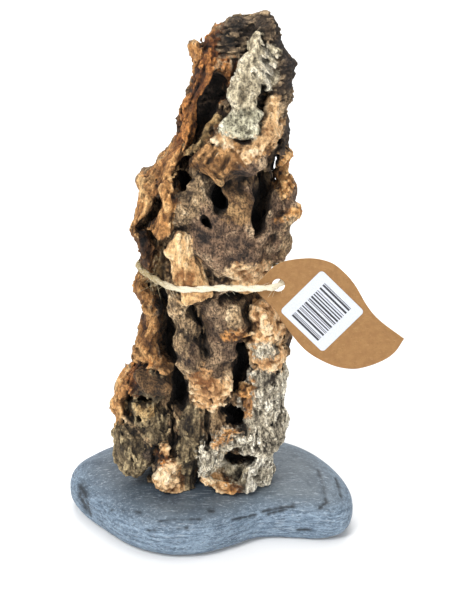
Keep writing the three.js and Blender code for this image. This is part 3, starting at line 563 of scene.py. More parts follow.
# Thin cracks and creases that follow the surface: the two ends, half width and depth of each
GROOVES = [
    ("plate fold, first", (25, -12.5, 275.5), (32.5, -11, 268), 0.9, 2.2),
    ("plate fold, second", (23, -15, 272), (31.5, -11, 262.5), 0.9, 2.4),
    ("plate fold, third", (21.5, -17, 268.5), (29, -14.5, 260), 0.9, 2.4),
    ("plate fold, fourth", (20.5, -18.5, 264), (26, -14.5, 255.5), 0.9, 2.2),
    ("crown layer, first", (4, -1.5, 280), (15.5, -3.5, 282), 0.7, 1.3),
    ("crown layer, second", (3, -3.5, 276), (14.5, -5, 278.5), 0.7, 1.3),
    ("crown layer, third", (2.5, -5, 273), (13.5, -6.5, 274.5), 0.7, 1.3),
    ("crown layer, fourth", (3, -6, 270.5), (11.5, -8, 271.5), 0.7, 1.3),
    ("crease in fold, first", (5.5, -23, 230.5), (-2.5, -27.5, 220.5), 0.9, 2),
    ("crease in fold, second", (1.5, -25.5, 229.5), (-6.5, -25, 220), 0.9, 2),
    ("crease in fold, third", (10.5, -25, 227), (4, -28, 217.5), 0.9, 2),
    ("crease in fold, fourth", (15, -27, 227.5), (9.5, -29, 216.5), 0.9, 1.6),
    ("slab crack, first", (-26, -12, 214), (-33, -13.5, 203.5), 0.7, 1.2),
    ("slab crack, second", (-28, -12.5, 209), (-36, -13.5, 195.5), 0.7, 1.2),
    ("slab crack, third", (-20, -17, 219), (-27, -16.5, 207), 0.7, 1.2),
    ("rust crack, first", (-1.5, -11.5, 269), (-5.5, -10.5, 257.5), 0.8, 1.6),
    ("rust crack, second", (-6.5, -12, 255), (-12.5, -11, 239), 0.8, 1.6),
    ("tan crack", (-13, -26.5, 178), (-9, -28, 157), 0.6, 0.8),
    ("rib crack", (-31, -17, 135.5), (-33.5, -17.5, 113.5), 0.7, 1),
    ("lump crack", (-3.5, -28, 97), (0, -25, 85.5), 0.8, 1.3),
    ("right lump crack", (33, -20, 132.5), (35.5, -20, 119.5), 0.8, 1.3),
    ("low lump crack, first", (-49, -17, 62), (-40, -23, 49), 0.7, 1),
    ("low lump crack, second", (-48, -17.5, 56), (-40, -23, 43), 0.7, 1),
    ("olive crack", (-10, -21, 76), (-12, -22, 50), 0.8, 1.2),
    ("column crack, first", (-16.5, -25.5, 143), (-14.5, -24.5, 119), 0.6, 0.9),
    ("column crack, second", (-20, -25, 142), (-17.5, -23, 115), 0.6, 0.9),
]
# Places where the finish changes without a change of form; the dark ones named for shade are painted shade in
# hollows, cracks and on a shaded side
STAINS = {"rust": [
    ("wall of top hollow", (8, -3, 266), (5, -3, 251), 5, 7),
    ("top of nub foot", (-30, -20, 54), (-26, -22, 49), 4, 8),
    ("streak on back", (16, 24, 110), (18, 24, 85), 4, 8),
], "char": [
    ("shade of top hollow", (0, -1, 255), (-3, 0, 237), 8, 9),
    ("shade of left crack", (-21, -8, 208), (-34, -8, 178), 3, 9),
    ("shade below waist", (-27, -10, 139), (-24, -10, 112), 3.5, 10),
    ("shade of low lump", (-33, -19, 52), (-31, -19, 45), 4, 6),
], "dusk": [
    ("shade of column foot", (-7, -26, 113), (4, -26, 107), (8, 6), 8),
], "fawn": [
    ("under flap", (10, -23, 210), (14, -25, 193), (9, 8), 7),
], "suede": [
    ("under muzzle", (14, -28, 213), (25, -27, 218), (5, 6), 9),
], "ivory": [
    ("top of muzzle", (3, -27, 233), (9, -27, 231), 4, 6),
    ("streak on muzzle", (16, -28, 232), (17, -31, 222), 1.8, 5),
], "ash": [
    ("patch high on back", (8, 25, 205), (14, 25, 182), (8, 7), 12),
    ("patch low on back", (-20, 24, 92), (-12, 25, 60), (9, 7), 12),
    ("edge of right bulge", (41, -12, 182), (38, -14, 166), 5, 9),
], "pale": [
    ("floor of lower arch", (6, -21, 45), (13, -19, 40), 7, 9),
], "cream": [
    ("face of broken lump", (-8, -26, 95.5), (7, -26, 92.5), 6.5, 8),
], "chalk": [
    # Pale cork on the nub foot's face, painted lighter still where it stands low in shade: partly painted
    # light.
    ("face of nub foot", (-24, -28, 45), (-22, -28, 36), 7, 6),
    ("cream underside", (12, -25, 161), (26, -22, 157), (7, 6), 6),
], "cork": [
    ("rim of upper arch", (19, -22, 96), (19.5, -22, 76), 1.9, 9),
    ("top of bridge", (18, -26, 69.5), (0, -26, 60.5), 1.5, 8),
    ("under knob", (8, -25, 125), (18, -25, 125), 3.5, 8),
], "lichen": [
    ("on right lump", (25, -22, 113), (31, -22, 112), 4, 6),
]}

# A grid round the bark, with its places bent by slow waves so that the ridges don't look turned
bark_count = np.ceil((BARK_HIGH - BARK_LOW) / BARK_CELL).astype(int) + 1
axes = [(BARK_LOW[i] + BARK_CELL * np.arange(bark_count[i])).astype(np.float32) for i in range(3)]
grid_x, grid_y, grid_z = np.meshgrid(*axes, indexing="ij")


def wave(a, b, broad, drift, fine_a, fine_b, phase):
    """A slow and a quick wave together."""
    slow = np.sin(a / broad + np.sin(b / drift))
    quick = np.sin(a / fine_a + b / fine_b + phase)
    return BROAD_SHIFT * slow + FINE_SHIFT * quick


bent = np.stack([
    grid_x + wave(grid_z, grid_y, 5.3, 6.1, 2.7, 3.3, 1),
    grid_y + wave(grid_z, grid_x, 6.7, 7.9, 3.9, 3.1, 2),
    grid_z + wave(grid_x, grid_y, 5.9, 7.3, 2.9, 3.7, 0.7),
], -1)


TINY = 1e-6
SIDEWAYS = 0.75


def ridge_share(points, start, end, wide, deep):
    """How far out in a ridge each place is, 1 on its surface, and how fast that grows."""
    start, end = np.array(start, np.float32), np.array(end, np.float32)
    axis = end - start
    length = np.linalg.norm(axis)
    axis = axis / length
    side = np.array([1, 0, 0]) if abs(axis[0]) < SIDEWAYS else np.array([0, 0, 1])
    side = side - side.dot(axis) * axis
    side = (side / np.linalg.norm(side)).astype(np.float32)
    face = np.cross(axis, side)
    offset = points - start
    along = offset @ axis
    share = np.clip(along / length, 0, 1)
    width = wide[0] + (wide[1] - wide[0]) * share
    depth = deep[0] + (deep[1] - deep[0]) * share
    cap = np.minimum(width, depth)
    a, b, c = (offset @ side) / width, (offset @ face) / depth, (along - share * length) / cap
    near = np.sqrt(a * a + b * b + c * c)
    growth = np.sqrt((a / width) ** 2 + (b / depth) ** 2 + (c / cap) ** 2)
    return near, np.maximum(growth, TINY)


def smooth_min(a, b, blend):
    """The smaller of two distances, rounded where they meet."""
    h = np.maximum(blend - np.abs(a - b), 0) / blend
    return np.minimum(a, b) - h * h * blend / 4


def block_round(start, end, reach):
    """The part of the grid within reach of a line."""
    low = np.floor((np.minimum(start, end) - reach - BARK_LOW) / BARK_CELL).astype(int)
    high = np.ceil((np.maximum(start, end) + reach - BARK_LOW) / BARK_CELL).astype(int) + 1
    low, high = np.clip(low, 0, bark_count - 1), np.clip(high, 1, bark_count)
    return tuple(slice(a, b) for a, b in zip(low, high))


def both(value):
    """The values at the two ends."""
    return value if isinstance(value, tuple) else (value, value)


def each_ridge(ridges, margin):
    """For each ridge, the part of the grid round it and the distances there, about in millimetres."""
    for _, start, end, wide, deep in ridges:
        wide, deep = both(wide), both(deep)
        block = block_round(start, end, max(*wide, *deep) + margin)
        near, growth = ridge_share(bent[block], start, end, wide, deep)
        yield block, near * (near - 1) / growth


field = np.full(bark_count, FAR, np.float32)
owner = np.zeros(bark_count, np.uint8)


def add_ridges(groups, blend):
    """Joins ridges to the bark, each with its group's finish."""
    for finish, ridges in groups.items():
        for block, distance in each_ridge(ridges, MASS_REACH):
            owner[block] = np.where(distance < field[block], list(FINISHES).index(finish), owner[block])
            field[block] = smooth_min(field[block], distance, blend)


add_ridges(MASSES, MASS_BLEND)
unbroken = field.copy()
for block, distance in each_ridge(HOLLOWS, HOLLOW_REACH):
    field[block] = -smooth_min(-field[block], distance, HOLLOW_BLEND)
add_ridges(PLATES, PLATE_BLEND)
uncracked = field.copy()
for _, start, end, wide, cut in GROOVES:
    block = block_round(start, end, GROOVE_REACH)
    straight = np.stack([grid_x[block], grid_y[block], grid_z[block]], -1)
    places = straight + GROOVE_SHIFT * (bent[block] - straight)
    near, _ = ridge_share(places, start, end, (wide, wide), (GROOVE_REACH, GROOVE_REACH))
    field[block] += cut * np.exp(-near ** 2)
for finish, ridges in STAINS.items():
    for block, distance in each_ridge(ridges, STAIN_REACH):
        owner[block] = np.where(distance < 0, list(FINISHES).index(finish), owner[block])
del bent

# Grains are smooth random fields on a tile that repeats without a seam
TILE = 128
BAND_WIDTH = 0.45
tile_frequency = np.stack(np.meshgrid(
    np.fft.fftfreq(TILE, BARK_CELL), np.fft.fftfreq(TILE, BARK_CELL),
    np.fft.rfftfreq(TILE, BARK_CELL), indexing="ij"), -1)


def grain(across, along, direction, seed):
    """Random tile with bumps this far apart across and along a direction, with unit spread."""
    white = np.random.default_rng(seed).standard_normal((TILE, TILE, TILE))
    direction = np.array(direction) / np.linalg.norm(direction)
    lengthwise = tile_frequency @ direction
    crosswise = (tile_frequency ** 2).sum(-1) - lengthwise ** 2
    reach = np.sqrt(np.maximum(crosswise, 0) * across ** 2 + (lengthwise * along) ** 2)
    made = np.fft.irfftn(np.fft.rfftn(white) * np.exp(-((reach - 1) / BAND_WIDTH) ** 2), s=white.shape)
    return (made / made.std()).astype(np.float32)


def lifts(name):
    """How far a grain lifts each place of the grid, softened at the finishes' borders."""
    spread = np.array([grains.get(name, 0) for *_, grains in FINISHES.values()], np.float32)[owner]
    for axis in range(3):
        spread = (np.roll(spread, 1, axis) + spread + np.roll(spread, -1, axis)) / 3
    return spread


CRACK_WIDTH = 0.16
PIT_START = 1.5
TORN_STEP = 4
SOFT_STEP = 1.6
tile_index = np.ix_(*[np.arange(size) % TILE for size in bark_count])
tiles = {}
relief = np.zeros(bark_count, np.float32)
for seed, (name, (across, along, direction)) in enumerate(GRAINS.items()):
    tiles[name] = grain(across, along, direction, seed)
    if name == "crack":
        bumps = -np.exp(-(tiles[name] / CRACK_WIDTH) ** 2)
    elif name == "pit":
        bumps = -np.clip(tiles[name] - PIT_START, 0, 1)
    elif name == "lump":
        bumps = tiles[name]
    else:
        bumps = np.tanh((TORN_STEP if name == "flake" else SOFT_STEP) * tiles[name])
    lift = lifts(name) * bumps[tile_index]
    field -= lift
    if name != "lump":
        relief += lift

# The foot stands on the stone, and the twine has pressed a shallow groove round the waist
TWINE_PATH = [
    (-1, 26, 150), (-14, 22.5, 150), (-27, 15, 151), (-37.5, 7, 152), (-37.5, -3, 153), (-32, -13, 153),
    (-26, -21, 153), (-20, -26, 152.5), (-13, -28.5, 152.5), (-5, -29, 153), (5, -30, 154), (14, -32.5, 155),
    (21, -36, 156.5), (26, -37, 157.2), (30.5, -36.6, 157.3), (34.2, -33, 157), (36.5, -27, 157),
    (36, -14, 156), (33, 0, 154), (27, 13, 152), (14, 22.5, 150.5), (1, 26, 150),
]
TWINE_RADIUS = 1.6
TWINE_POINTS = 160
TWINE_REACH = 3
TWINE_ROOM = 0.1
SEAT_DEPTH = 0.3
field = np.maximum(field, STONE_HEIGHT - SEAT_DEPTH - grid_z)
twine_line = smooth_line(TWINE_PATH, TWINE_POINTS)
for point in twine_line:
    block = block_round(point, point, TWINE_REACH)
    away = (grid_x[block] - point[0]) ** 2 + (grid_y[block] - point[1]) ** 2 + (grid_z[block] - point[2]) ** 2
    field[block] = np.maximum(field[block], TWINE_RADIUS + TWINE_ROOM - np.sqrt(away))
del grid_x, grid_y, grid_z


def sampled(volume, points):
    """A grid's or a tile's values at places between its points."""
    place = (points - BARK_LOW) / BARK_CELL
    base = np.floor(place).astype(int)
    share = (place - base).astype(np.float32)
    total = 0
    for corner in np.ndindex(2, 2, 2):
        weight = np.prod(np.where(corner, share, 1 - share), 1)
        index = (base + corner) % volume.shape
        total = total + weight * volume[index[:, 0], index[:, 1], index[:, 2]]
    return total


def largest_part(count, faces):
    """Which points belong to the largest joined part of a mesh."""
    label = np.arange(count)
    links = np.vstack([faces[:, (i, (i + 1) % 4)] for i in range(4)])
    while True:
        low = np.minimum(label[links[:, 0]], label[links[:, 1]])
        after = label.copy()
        np.minimum.at(after, links[:, 0], low)
        np.minimum.at(after, links[:, 1], low)
        after = after[after]
        if np.array_equal(after, label):
            return label == np.bincount(label).argmax()
        label = after


surface = openvdb.FloatGrid()
surface.copyFromArray(field)
bark_points, bark_faces = surface.convertToQuads(0.0)
kept = largest_part(len(bark_points), bark_faces)
bark_faces = bark_faces[kept[bark_faces[:, 0]]]
used, bark_faces = np.unique(bark_faces, return_inverse=True)
bark_points = bark_points[used] * BARK_CELL + BARK_LOW
bark_faces = bark_faces.reshape(-1, 4)

# Which way each place faces, how shut in it is, and its colour, with painted shade where it is shut in and
# painted highlight on proud ridges
PROUD_REACH = 2.5
RIDGE_HIGHLIGHT = 0.8
LIGHTER = 0.08
BROAD_GRAIN = 26
SWING_SHARES = (0.45, 0.35, 0.25, 0.15, 0.12)
SIDE_TEAR = 5
SIDE_START = 0.6
SHUT_STEPS = ((1.5, 0.15), (3, 0.25), (6, 0.3), (10, 0.3))
LOOKS = 6
LOOK_DEPTH = 0.8
LOOK_DRIFT = 1.3
LOOK_SCATTER = 0.6
INNER = ("rust", "umber", "plank", "rind", "split", "worn", "cork", "cream", "tan")
BACK_START = 6
BACK_FRAY = 4
HOLLOW_START, HOLLOW_FADE, HOLLOW_LIMIT = 1.5, 2.8, 20
CRACK_START, CRACK_FADE, CRACK_LIMIT = 0.8, 1.7, 4
SHUT_GAIN, SHUT_START, SHUT_SHADE = 1.35, 0.18, 0.9
step = BARK_CELL * np.eye(3)
slope = np.stack([sampled(field, bark_points + s) - sampled(field, bark_points - s) for s in step], 1)
outward = slope / np.maximum(np.linalg.norm(slope, axis=1, keepdims=True), TINY)
shut = 0
for reach, weight in SHUT_STEPS:
    shut = shut + weight * np.clip(1 - sampled(field, bark_points + reach * outward) / reach, 0, 1)
proud = np.clip(1 + sampled(field, bark_points - PROUD_REACH * outward) / PROUD_REACH, 0, 1)
patch, fleck = sampled(tiles["lump"], bark_points), sampled(tiles["crumb"], bark_points)
mottle = sampled(tiles["flake"], bark_points)
broad = sampled(grain(BROAD_GRAIN, BROAD_GRAIN, (0, 0, 1), len(GRAINS)), bark_points)
causes = (sampled(relief, bark_points), broad, patch, mottle, fleck)
swing = sum(share * cause for share, cause in zip(SWING_SHARES, causes))
# Proud ridges are painted lighter: painted highlight.
swing = np.clip(swing + RIDGE_HIGHLIGHT * (proud - proud.mean()) + LIGHTER, -1, 1)[:, None]
tones = np.array([[srgb(*tone)[:3] for tone in shades] for *shades, _, _ in FINISHES.values()])
speckles = np.array([speckled for *_, speckled, _ in FINISHES.values()])
torn = np.zeros_like(bark_points)
torn[:, 2] = SIDE_TEAR * np.clip(outward[:, 1] + SIDE_START, 0, 1) * sampled(tiles["upright"], bark_points)
random = np.random.default_rng(11)
inner = np.array([name in INNER for name in FINISHES])
bark_colour, bark_speckle = 0, 0
for look in range(LOOKS):
    scatter = random.normal(0, LOOK_SCATTER, bark_points.shape)
    drift = np.stack([mottle, patch, fleck], 1) * LOOK_DRIFT + scatter
    at = np.round((bark_points + drift + torn - LOOK_DEPTH * outward - BARK_LOW) / BARK_CELL).astype(int)
    at = np.clip(at, 0, bark_count - 1)
    finish = owner[at[:, 0], at[:, 1], at[:, 2]]
    behind = bark_points[:, 1] + BACK_FRAY * mottle + BACK_FRAY * drift[:, 1] > BACK_START
    finish = np.where(behind & inner[finish], list(FINISHES).index("bark"), finish)
    middle, dark, light = np.moveaxis(tones[finish], 1, 0)
    blended = np.where(swing < 0, middle - swing * (dark - middle), middle + swing * (light - middle))
    bark_colour = bark_colour + blended / LOOKS
    bark_speckle = bark_speckle + speckles[finish] / LOOKS
# Hollows, cracks and shut-in places are painted darker: painted shade
sunk = np.clip(-sampled(unbroken, bark_points) - HOLLOW_START, 0, HOLLOW_LIMIT)
split = np.clip(-sampled(uncracked, bark_points) - CRACK_START, 0, CRACK_LIMIT)
painted_shade = np.exp(-sunk / HOLLOW_FADE) * np.exp(-split / CRACK_FADE)
painted_shade = painted_shade * (1 - SHUT_SHADE * np.clip(SHUT_GAIN * shut - SHUT_START, 0, 1))
bark_colour = bark_colour * painted_shade[:, None]
bark_tone = np.hstack([bark_colour, bark_speckle[:, None]]).astype(np.float32)

cork_bark, shader, place = new_material("cork_bark", 0.92)
tone = place.node("Attribute", {}, attribute_name="tone")
speckle = place.node("Attribute", {}, output="Alpha", attribute_name="tone")
grit = place.noise(820, 4, 0.75)
thread = place.stretched((1, 1, 0.25)).noise(1100, 3, 0.6)
pore = place.noise(520, 2, 0.5)
contrast = (grit * 0.6 + thread * 0.4).above(0.41, 0.59).mixed((0.32, 0.3, 0.28, 1), (1.7, 1.66, 1.6, 1))
tone = speckle.times(tone, contrast)
tone = (pore.above(0.6, 0.68) * speckle * 0.7).mixed(tone, srgb(26, 20, 16))
feed(shader, Base_Color=tone, Normal=bumped(grit + thread - pore.above(0.58, 0.68), 0.9, 0.0009))

# The surface in bands from the foot up, each a piece of its own with the whole surface's normals
BAND_FACES = 95000
order = np.argsort(bark_points[bark_faces[:, 0], 2], kind="stable")
bands = np.array_split(order, math.ceil(len(order) / BAND_FACES))
for index, band in enumerate(bands):
    used, faces = np.unique(bark_faces[band], return_inverse=True)
    piece = mesh_piece(
        f"cork_bark_{index + 1}", bark_points[used], faces.reshape(-1, 4), cork_bark, "bark")
    attribute = piece.data.attributes.new("tone", "FLOAT_COLOR", "POINT")
    attribute.data.foreach_set("color", bark_tone[used].ravel())
    piece.data.normals_split_custom_set_from_vertices(outward[used].tolist())


# Two stainless screws hold the bark to the stone from below.
# They keep the solids' own shapes, sunk in the stone.
screw_steel, shader, place = new_material("screw_steel", 0.35)
shader.inputs["Metallic"].default_value = 1.0
brushed = place.stretched((60, 60, 900)).noise(12, 3)
feed(shader, Base_Color=brushed.above(0.3, 0.7).mixed(srgb(150, 152, 155), srgb(198, 200, 202)))
for name in ("screw_left", "screw_right"):
    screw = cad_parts[name]
    screw.data.materials.clear()
    screw.data.materials.append(screw_steel)


# Jute twine: two plies twisted together, once round the bark's waist and through the hole of the tag,
# tied in a knot at the back. Loose fibres stand off it all along.
PLY_RADIUS = 1.12
PLY_OFFSET = 0.66
TWIST_LENGTH = 19
PLY_SIDES = 9
TWINE_STEPS = 620
FIRST_TURN = 0.4
SLOW_SWELL = 0.08
QUICK_SWELL = 0.05
TAIL_STEPS = 40
KNOT_AT = (0, 26.2, 149.6)
KNOT_RADII = (1.6, 2.3, 2.4)
KNOT_TURNS = 2.6
KNOT_SLIP = 0.31
KNOT_STEPS = 60
KNOT_STRAND = 1.25
TWINE_TAILS = [
    [(-1, 26.5, 149), (-4, 29, 144), (-5, 29.5, 136)],
    [(1, 26.5, 149), (5, 29.5, 145), (8, 30, 138)],
]


def frames_along(line):
    """Two directions across a line at each of its points, without twist."""
    ahead = np.gradient(line, axis=0)
    ahead /= np.linalg.norm(ahead, axis=1, keepdims=True)
    first = np.zeros_like(line)
    across = np.cross(ahead[0], (0, 0, 1))
    for i, direction in enumerate(ahead):
        across = across - across.dot(direction) * direction
        across = across / np.linalg.norm(across)
        first[i] = across
    return first, np.cross(ahead, first)


def tube(line, radius, sides):
    """Points and faces of a closed tube along a line; radius is a number or one for each point."""
    first, second = frames_along(line)
    angle = 2 * np.pi * np.arange(sides) / sides
    radius = np.broadcast_to(radius, len(line))[:, None, None]
    ring = np.cos(angle)[None, :, None] * first[:, None] + np.sin(angle)[None, :, None] * second[:, None]
    faces = ring_faces(len(line), sides)[:, ::-1].tolist()
    faces.append(list(range(sides)))
    faces.append(list(range(len(line) * sides - 1, (len(line) - 1) * sides - 1, -1)))
    return (line[:, None] + radius * ring).reshape(-1, 3), faces


def joined(parts):
    """Several meshes as one."""
    points, faces, start = [], [], 0
    for part_points, part_faces in parts:
        points.append(part_points)
        faces.extend([[start + corner for corner in face] for face in part_faces])
        start += len(part_points)
    return np.vstack(points), faces


def plies(path, steps, turn):
    """Two plies twisted round a path."""
    line = smooth_line(path, steps)
    first, second = frames_along(line)
    along = lengths_along(line)
    made = []
    for ply in range(2):
        angle = (2 * np.pi * along / TWIST_LENGTH + np.pi * ply + turn)[:, None]
        middle = line + PLY_OFFSET * (np.cos(angle) * first + np.sin(angle) * second)
        swell = 1 + SLOW_SWELL * np.sin(along * 1.7 + 3 * ply) + QUICK_SWELL * np.sin(along * 4.1)
        made.append(tube(middle, PLY_RADIUS * swell, PLY_SIDES))
    return made


strands = plies(TWINE_PATH, TWINE_STEPS, FIRST_TURN)
for index, tail in enumerate(TWINE_TAILS):
    strands += plies(tail, TAIL_STEPS, index)
# The knot: a short wrap of twine round the two ends
turn = np.linspace(0, KNOT_TURNS * 2 * np.pi, KNOT_STEPS)
wrap = np.array(KNOT_AT) + KNOT_RADII * np.stack([np.sin(turn * KNOT_SLIP), np.cos(turn), np.sin(turn)], 1)
wrap[:, 0] += np.linspace(-KNOT_RADII[0], KNOT_RADII[0], KNOT_STEPS)
strands.append(tube(wrap, KNOT_STRAND, PLY_SIDES))

random = np.random.default_rng(5)
FIBRES = 210
TUFT = (46, 58)
TUFT_FIBRES = 40
LONG_FIBRES = 12
LONG_SHARE = 2.2
FIBRE_LENGTH = (2.5, 7)
FIBRE_ROOT = 0.5
FIBRE_MARGIN = 4
FIBRE_SPAN = 3
FIBRE_AHEAD, FIBRE_AWAY = 0.9, 0.4
FIBRE_CURL, FIBRE_DROOP = 0.9, 0.3
FIBRE_STEPS = 5
FIBRE_SIDES = 3
FIBRE_RADII = np.linspace(0.1, 0.05, FIBRE_STEPS)
for fibre in range(FIBRES):
    places = TUFT if fibre < TUFT_FIBRES else (FIBRE_MARGIN, TWINE_POINTS - FIBRE_MARGIN)
    at = random.integers(*places)
    start = twine_line[at] + random.normal(0, FIBRE_ROOT, 3)
    ahead = twine_line[at + FIBRE_SPAN] - twine_line[at]
    ahead = ahead / np.linalg.norm(ahead)
    away = random.normal(0, 1, 3)
    away = away - away.dot(ahead) * ahead
    away = away / np.linalg.norm(away)
    length = random.uniform(*FIBRE_LENGTH) * (LONG_SHARE if fibre < LONG_FIBRES else 1)
    share = np.linspace(0, 1, FIBRE_STEPS)[:, None]
    line = start + length * share * (ahead * random.choice((-1, 1)) * FIBRE_AHEAD + away * FIBRE_AWAY)
    line = line + (away * FIBRE_CURL - np.array((0, 0, FIBRE_DROOP * length))) * share ** 2
    strands.append(tube(line, FIBRE_RADII, FIBRE_SIDES))
twine_points, twine_faces = joined(strands)

jute, shader, place = new_material("jute", 0.9)
strand = place.stretched((250, 900, 1100)).noise(1.6, 4, 0.6)
hair = place.noise(1800, 3)
# The twine is painted darker towards the left, where it runs round the side into shade: painted shade.
painted_light_share = place.node("SeparateXYZ", {0: place}).above(-0.034, -0.012)
colour = painted_light_share.mixed(srgb(166, 146, 104), srgb(226, 216, 190))
colour = (strand.above(0.5, 0.66) * 0.5).mixed(colour, srgb(246, 240, 222))
colour = (hair.above(0.55, 0.72) * 0.45).mixed(colour, srgb(122, 102, 68))
feed(shader, Base_Color=colour, Normal=bumped(hair + strand * 0.5, 0.7, 0.0005))
mesh_piece("jute_twine", twine_points, twine_faces, jute, "twine")


# Hang tag: stiff brown kraft card cut to a leaf shape, with a punched hole that the twine runs through.
# It hangs clear of the bark, with its lower end a little further forward.
TAG_AT = Vector((34, -33, 157)) * MM
TAG_LEAN = math.radians(12)
TAG_THICKNESS = 0.6
TAG_HOLE_RADIUS = 3.3
TAG_TIP = (-12.5, -0.5)
TAG_UPPER = [
    (-8.5, 3.5), (0.5, 11.5), (15, 14), (26, 12), (33, 7), (39, 0), (45.5, -11), (52, -18.5), (64.5, -28),
]
TAG_LOWER = [
    (60, -35), (54, -39.5), (45, -43), (37, -44), (26.5, -41.5), (14, -34), (3.5, -21), (-2, -12.5),
    (-11.5, -3),
]
TAG_EDGE_STEPS = 120
HOLE_STEPS = 64
CARD_EDGE = 0.1
tag_place = Matrix.Translation(TAG_AT) @ Matrix.Rotation(math.pi / 2 - TAG_LEAN, 4, "X")


def flat_piece(name, outlines, thickness, edge, material, matrix, node=None):
    """A flat cut piece with softened edges, from outlines in millimetres in its own plane."""
    curve = bpy.data.curves.new(name, "CURVE")
    curve.dimensions = "2D"
    curve.fill_mode = "BOTH"
    curve.extrude = (thickness / 2 - edge) * MM
    curve.bevel_depth = edge * MM
    curve.bevel_resolution = 2
    curve.offset = -edge * MM
    for outline in outlines:
        spline = curve.splines.new("POLY")
        spline.points.add(len(outline) - 1)
        for point, (px, py) in zip(spline.points, outline):
            point.co = (px * MM, py * MM, 0, 1)
        spline.use_cyclic_u = True
    drawn = add_object(name, curve)
    mesh = bpy.data.meshes.new_from_object(drawn.evaluated_get(bpy.context.evaluated_depsgraph_get()))
    bpy.data.objects.remove(drawn)
    mesh.materials.clear()
    mesh.materials.append(material)
    return add_piece(name, mesh, node, matrix)


hole_angle = np.linspace(0, 2 * np.pi, HOLE_STEPS, endpoint=False)
hole = TAG_HOLE_RADIUS * np.stack([np.cos(hole_angle), np.sin(hole_angle)], 1)
upper_edge = smooth_line([TAG_TIP, *TAG_UPPER], TAG_EDGE_STEPS)
lower_edge = smooth_line([TAG_UPPER[-1], *TAG_LOWER], TAG_EDGE_STEPS)
leaf = np.vstack([upper_edge, lower_edge[1:]])

kraft, shader, place = new_material("kraft_card", 0.82)
mottle_card = place.noise(260, 4, 0.6)
fibre_card = place.stretched((420, 1300, 1300)).noise(1.0, 4, 0.7)
fleck_card = place.noise(1500, 2)
cut = place.node("SeparateXYZ", {0: place.node("TexCoord", {}, output="Normal")}, output=2)
colour = mottle_card.above(0.3, 0.7).mixed(srgb(138, 100, 58), srgb(150, 111, 66))
colour = (fibre_card.above(0.54, 0.68) * 0.3).mixed(colour, srgb(176, 139, 92))
colour = (fleck_card.above(0.6, 0.7) * 0.35).mixed(colour, srgb(106, 72, 38))
# The card's edges, where its surface turns sideways, are painted lighter: painted highlight.
colour = (cut * cut).above(0.6, 0.2).mixed(colour, srgb(200, 170, 127))
feed(shader, Base_Color=colour, Normal=bumped(fibre_card + fleck_card * 0.4, 0.35, 0.0003))
flat_piece("kraft_tag", [leaf, hole], TAG_THICKNESS, CARD_EDGE, kraft, tag_place, "tag")


# White paper sticker with rounded corners, stuck on the tag.
# A plain block of ruled bars is printed on it.
LABEL_SIZE = (31, 30)
LABEL_CORNER = 2
LABEL_THICKNESS = 0.3
LABEL_AT = (22.4, -13.5)
LABEL_TURN = math.radians(-44.6)
LABEL_GAP = 0.02
LABEL_EDGE = 0.05
CORNER_STEPS = 8
INK_GAP = 0.02
INK_THICKNESS = 0.02
INK_EDGE = 0.001
BARS_ALONG = (-9.5, 9.5)
BARS_ACROSS = (-12.5, 11)
BAR_STEP = 0.36
BAR_STEPS = (1, 4)

corner_angle = np.linspace(0, np.pi / 2, CORNER_STEPS)
label_outline = []
for quarter, (sx, sy) in enumerate(((1, 1), (-1, 1), (-1, -1), (1, -1))):
    angle = corner_angle + quarter * np.pi / 2
    across = sx * (LABEL_SIZE[0] / 2 - LABEL_CORNER) + LABEL_CORNER * np.cos(angle)
    up = sy * (LABEL_SIZE[1] / 2 - LABEL_CORNER) + LABEL_CORNER * np.sin(angle)
    label_outline += zip(across, up)
label_height = (TAG_THICKNESS / 2 + LABEL_GAP + LABEL_THICKNESS / 2) * MM
label_place = tag_place @ Matrix.Translation((LABEL_AT[0] * MM, LABEL_AT[1] * MM, label_height))
label_place = label_place @ Matrix.Rotation(LABEL_TURN, 4, "Z")

label_paper, shader, place = new_material("label_paper", 0.45)
paper = place.noise(1600, 3)
feed(shader, Base_Color=paper.above(0.3, 0.7).mixed(srgb(194, 198, 207), srgb(206, 210, 218)))
flat_piece(
    "paper_label", [label_outline], LABEL_THICKNESS, LABEL_EDGE, label_paper, label_place,
    "label")

ink, shader, place = new_material("label_ink", 0.5)
feed(shader, Base_Color=place.noise(900, 3).above(0.3, 0.7).mixed(srgb(30, 30, 34), srgb(52, 52, 58)))
random = np.random.default_rng(3)
low, high = BARS_ALONG
bars, edge = [], BARS_ACROSS[0]
while edge < BARS_ACROSS[1]:
    width = BAR_STEP * random.integers(*BAR_STEPS)
    bars.append([(low, edge), (high, edge), (high, edge + width), (low, edge + width)])
    edge += width + BAR_STEP * random.integers(*BAR_STEPS)
bar_place = label_place @ Matrix.Translation((0, 0, (LABEL_THICKNESS / 2 + INK_GAP) * MM))
flat_piece("label_bars", bars, INK_THICKNESS, INK_EDGE, ink, bar_place)


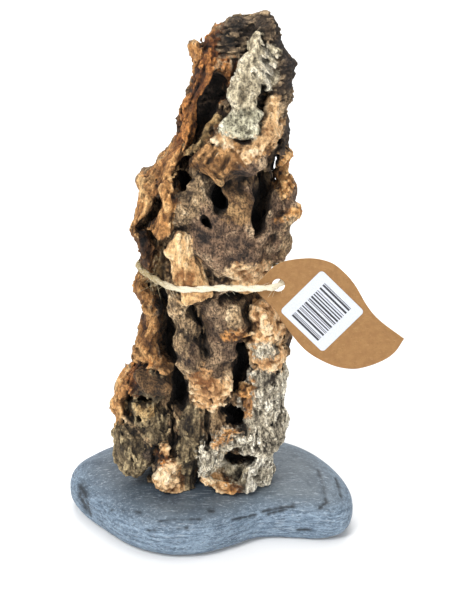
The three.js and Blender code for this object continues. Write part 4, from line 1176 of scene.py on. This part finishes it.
# Studio: a pale floor and soft light from above and in front.
# The camera stands at the photograph's angle.
FLOOR_HALF = 4.0
FLOOR_GREY = 0.9
SKY_STRENGTH = 0.47
floor_mesh = bpy.data.meshes.new("floor")
corners = [(FLOOR_HALF * sx, FLOOR_HALF * sy, 0) for sx, sy in ((-1, -1), (1, -1), (1, 1), (-1, 1))]
floor_mesh.from_pydata(corners, [], [(0, 1, 2, 3)])
floor = add_object("floor", floor_mesh)
pale_floor, shader, place = new_material("pale_floor", 0.9)
shader.inputs["Base Color"].default_value = (FLOOR_GREY, FLOOR_GREY, FLOOR_GREY, 1)
floor_mesh.materials.append(pale_floor)

world = bpy.data.worlds.new("studio")
world.use_nodes = True
world.node_tree.nodes["Background"].inputs["Color"].default_value = (1, 1, 1, 1)
world.node_tree.nodes["Background"].inputs["Strength"].default_value = SKY_STRENGTH
bpy.context.scene.world = world


def softbox(name, place, target, size, watts):
    """A square light turned to a target."""
    light = bpy.data.lights.new(name, "AREA")
    light.shape = "SQUARE"
    light.size = size
    light.energy = watts
    box = add_object(name, light)
    box.location = place
    box.rotation_euler = (Vector(target) - Vector(place)).to_track_quat("-Z", "Y").to_euler()


softbox("key", (-0.7, -0.9, 1.2), (0, 0, 0.12), 0.6, 18)
softbox("fill", (0.45, -1.3, 0.5), (0, 0, 0.12), 0.8, 6)
softbox("far", (0, 2.2, 2.0), (0, 1.6, 0), 2.0, 60)
softbox("top", (0.1, 0.2, 1.4), (0, 0, 0.1), 1.0, 7)

CAMERA_TARGET = Vector((6.9, 0, 133.3)) * MM
CAMERA_DISTANCE = 0.95
CAMERA_ELEVATION = math.radians(25)
FOCAL_PIXELS = 1792
IMAGE_HEIGHT = 600
camera = bpy.data.cameras.new("camera")
camera.sensor_width = 36
camera.lens = camera.sensor_width * FOCAL_PIXELS / IMAGE_HEIGHT
camera.clip_start = 0.01
eye = add_object("camera", camera)
back = Vector((0, -math.cos(CAMERA_ELEVATION), math.sin(CAMERA_ELEVATION)))
eye.location = CAMERA_TARGET + CAMERA_DISTANCE * back
eye.rotation_euler = (math.pi / 2 - CAMERA_ELEVATION, 0, 0)
bpy.context.scene.camera = eye
bpy.context.scene.view_settings.view_transform = "Standard"
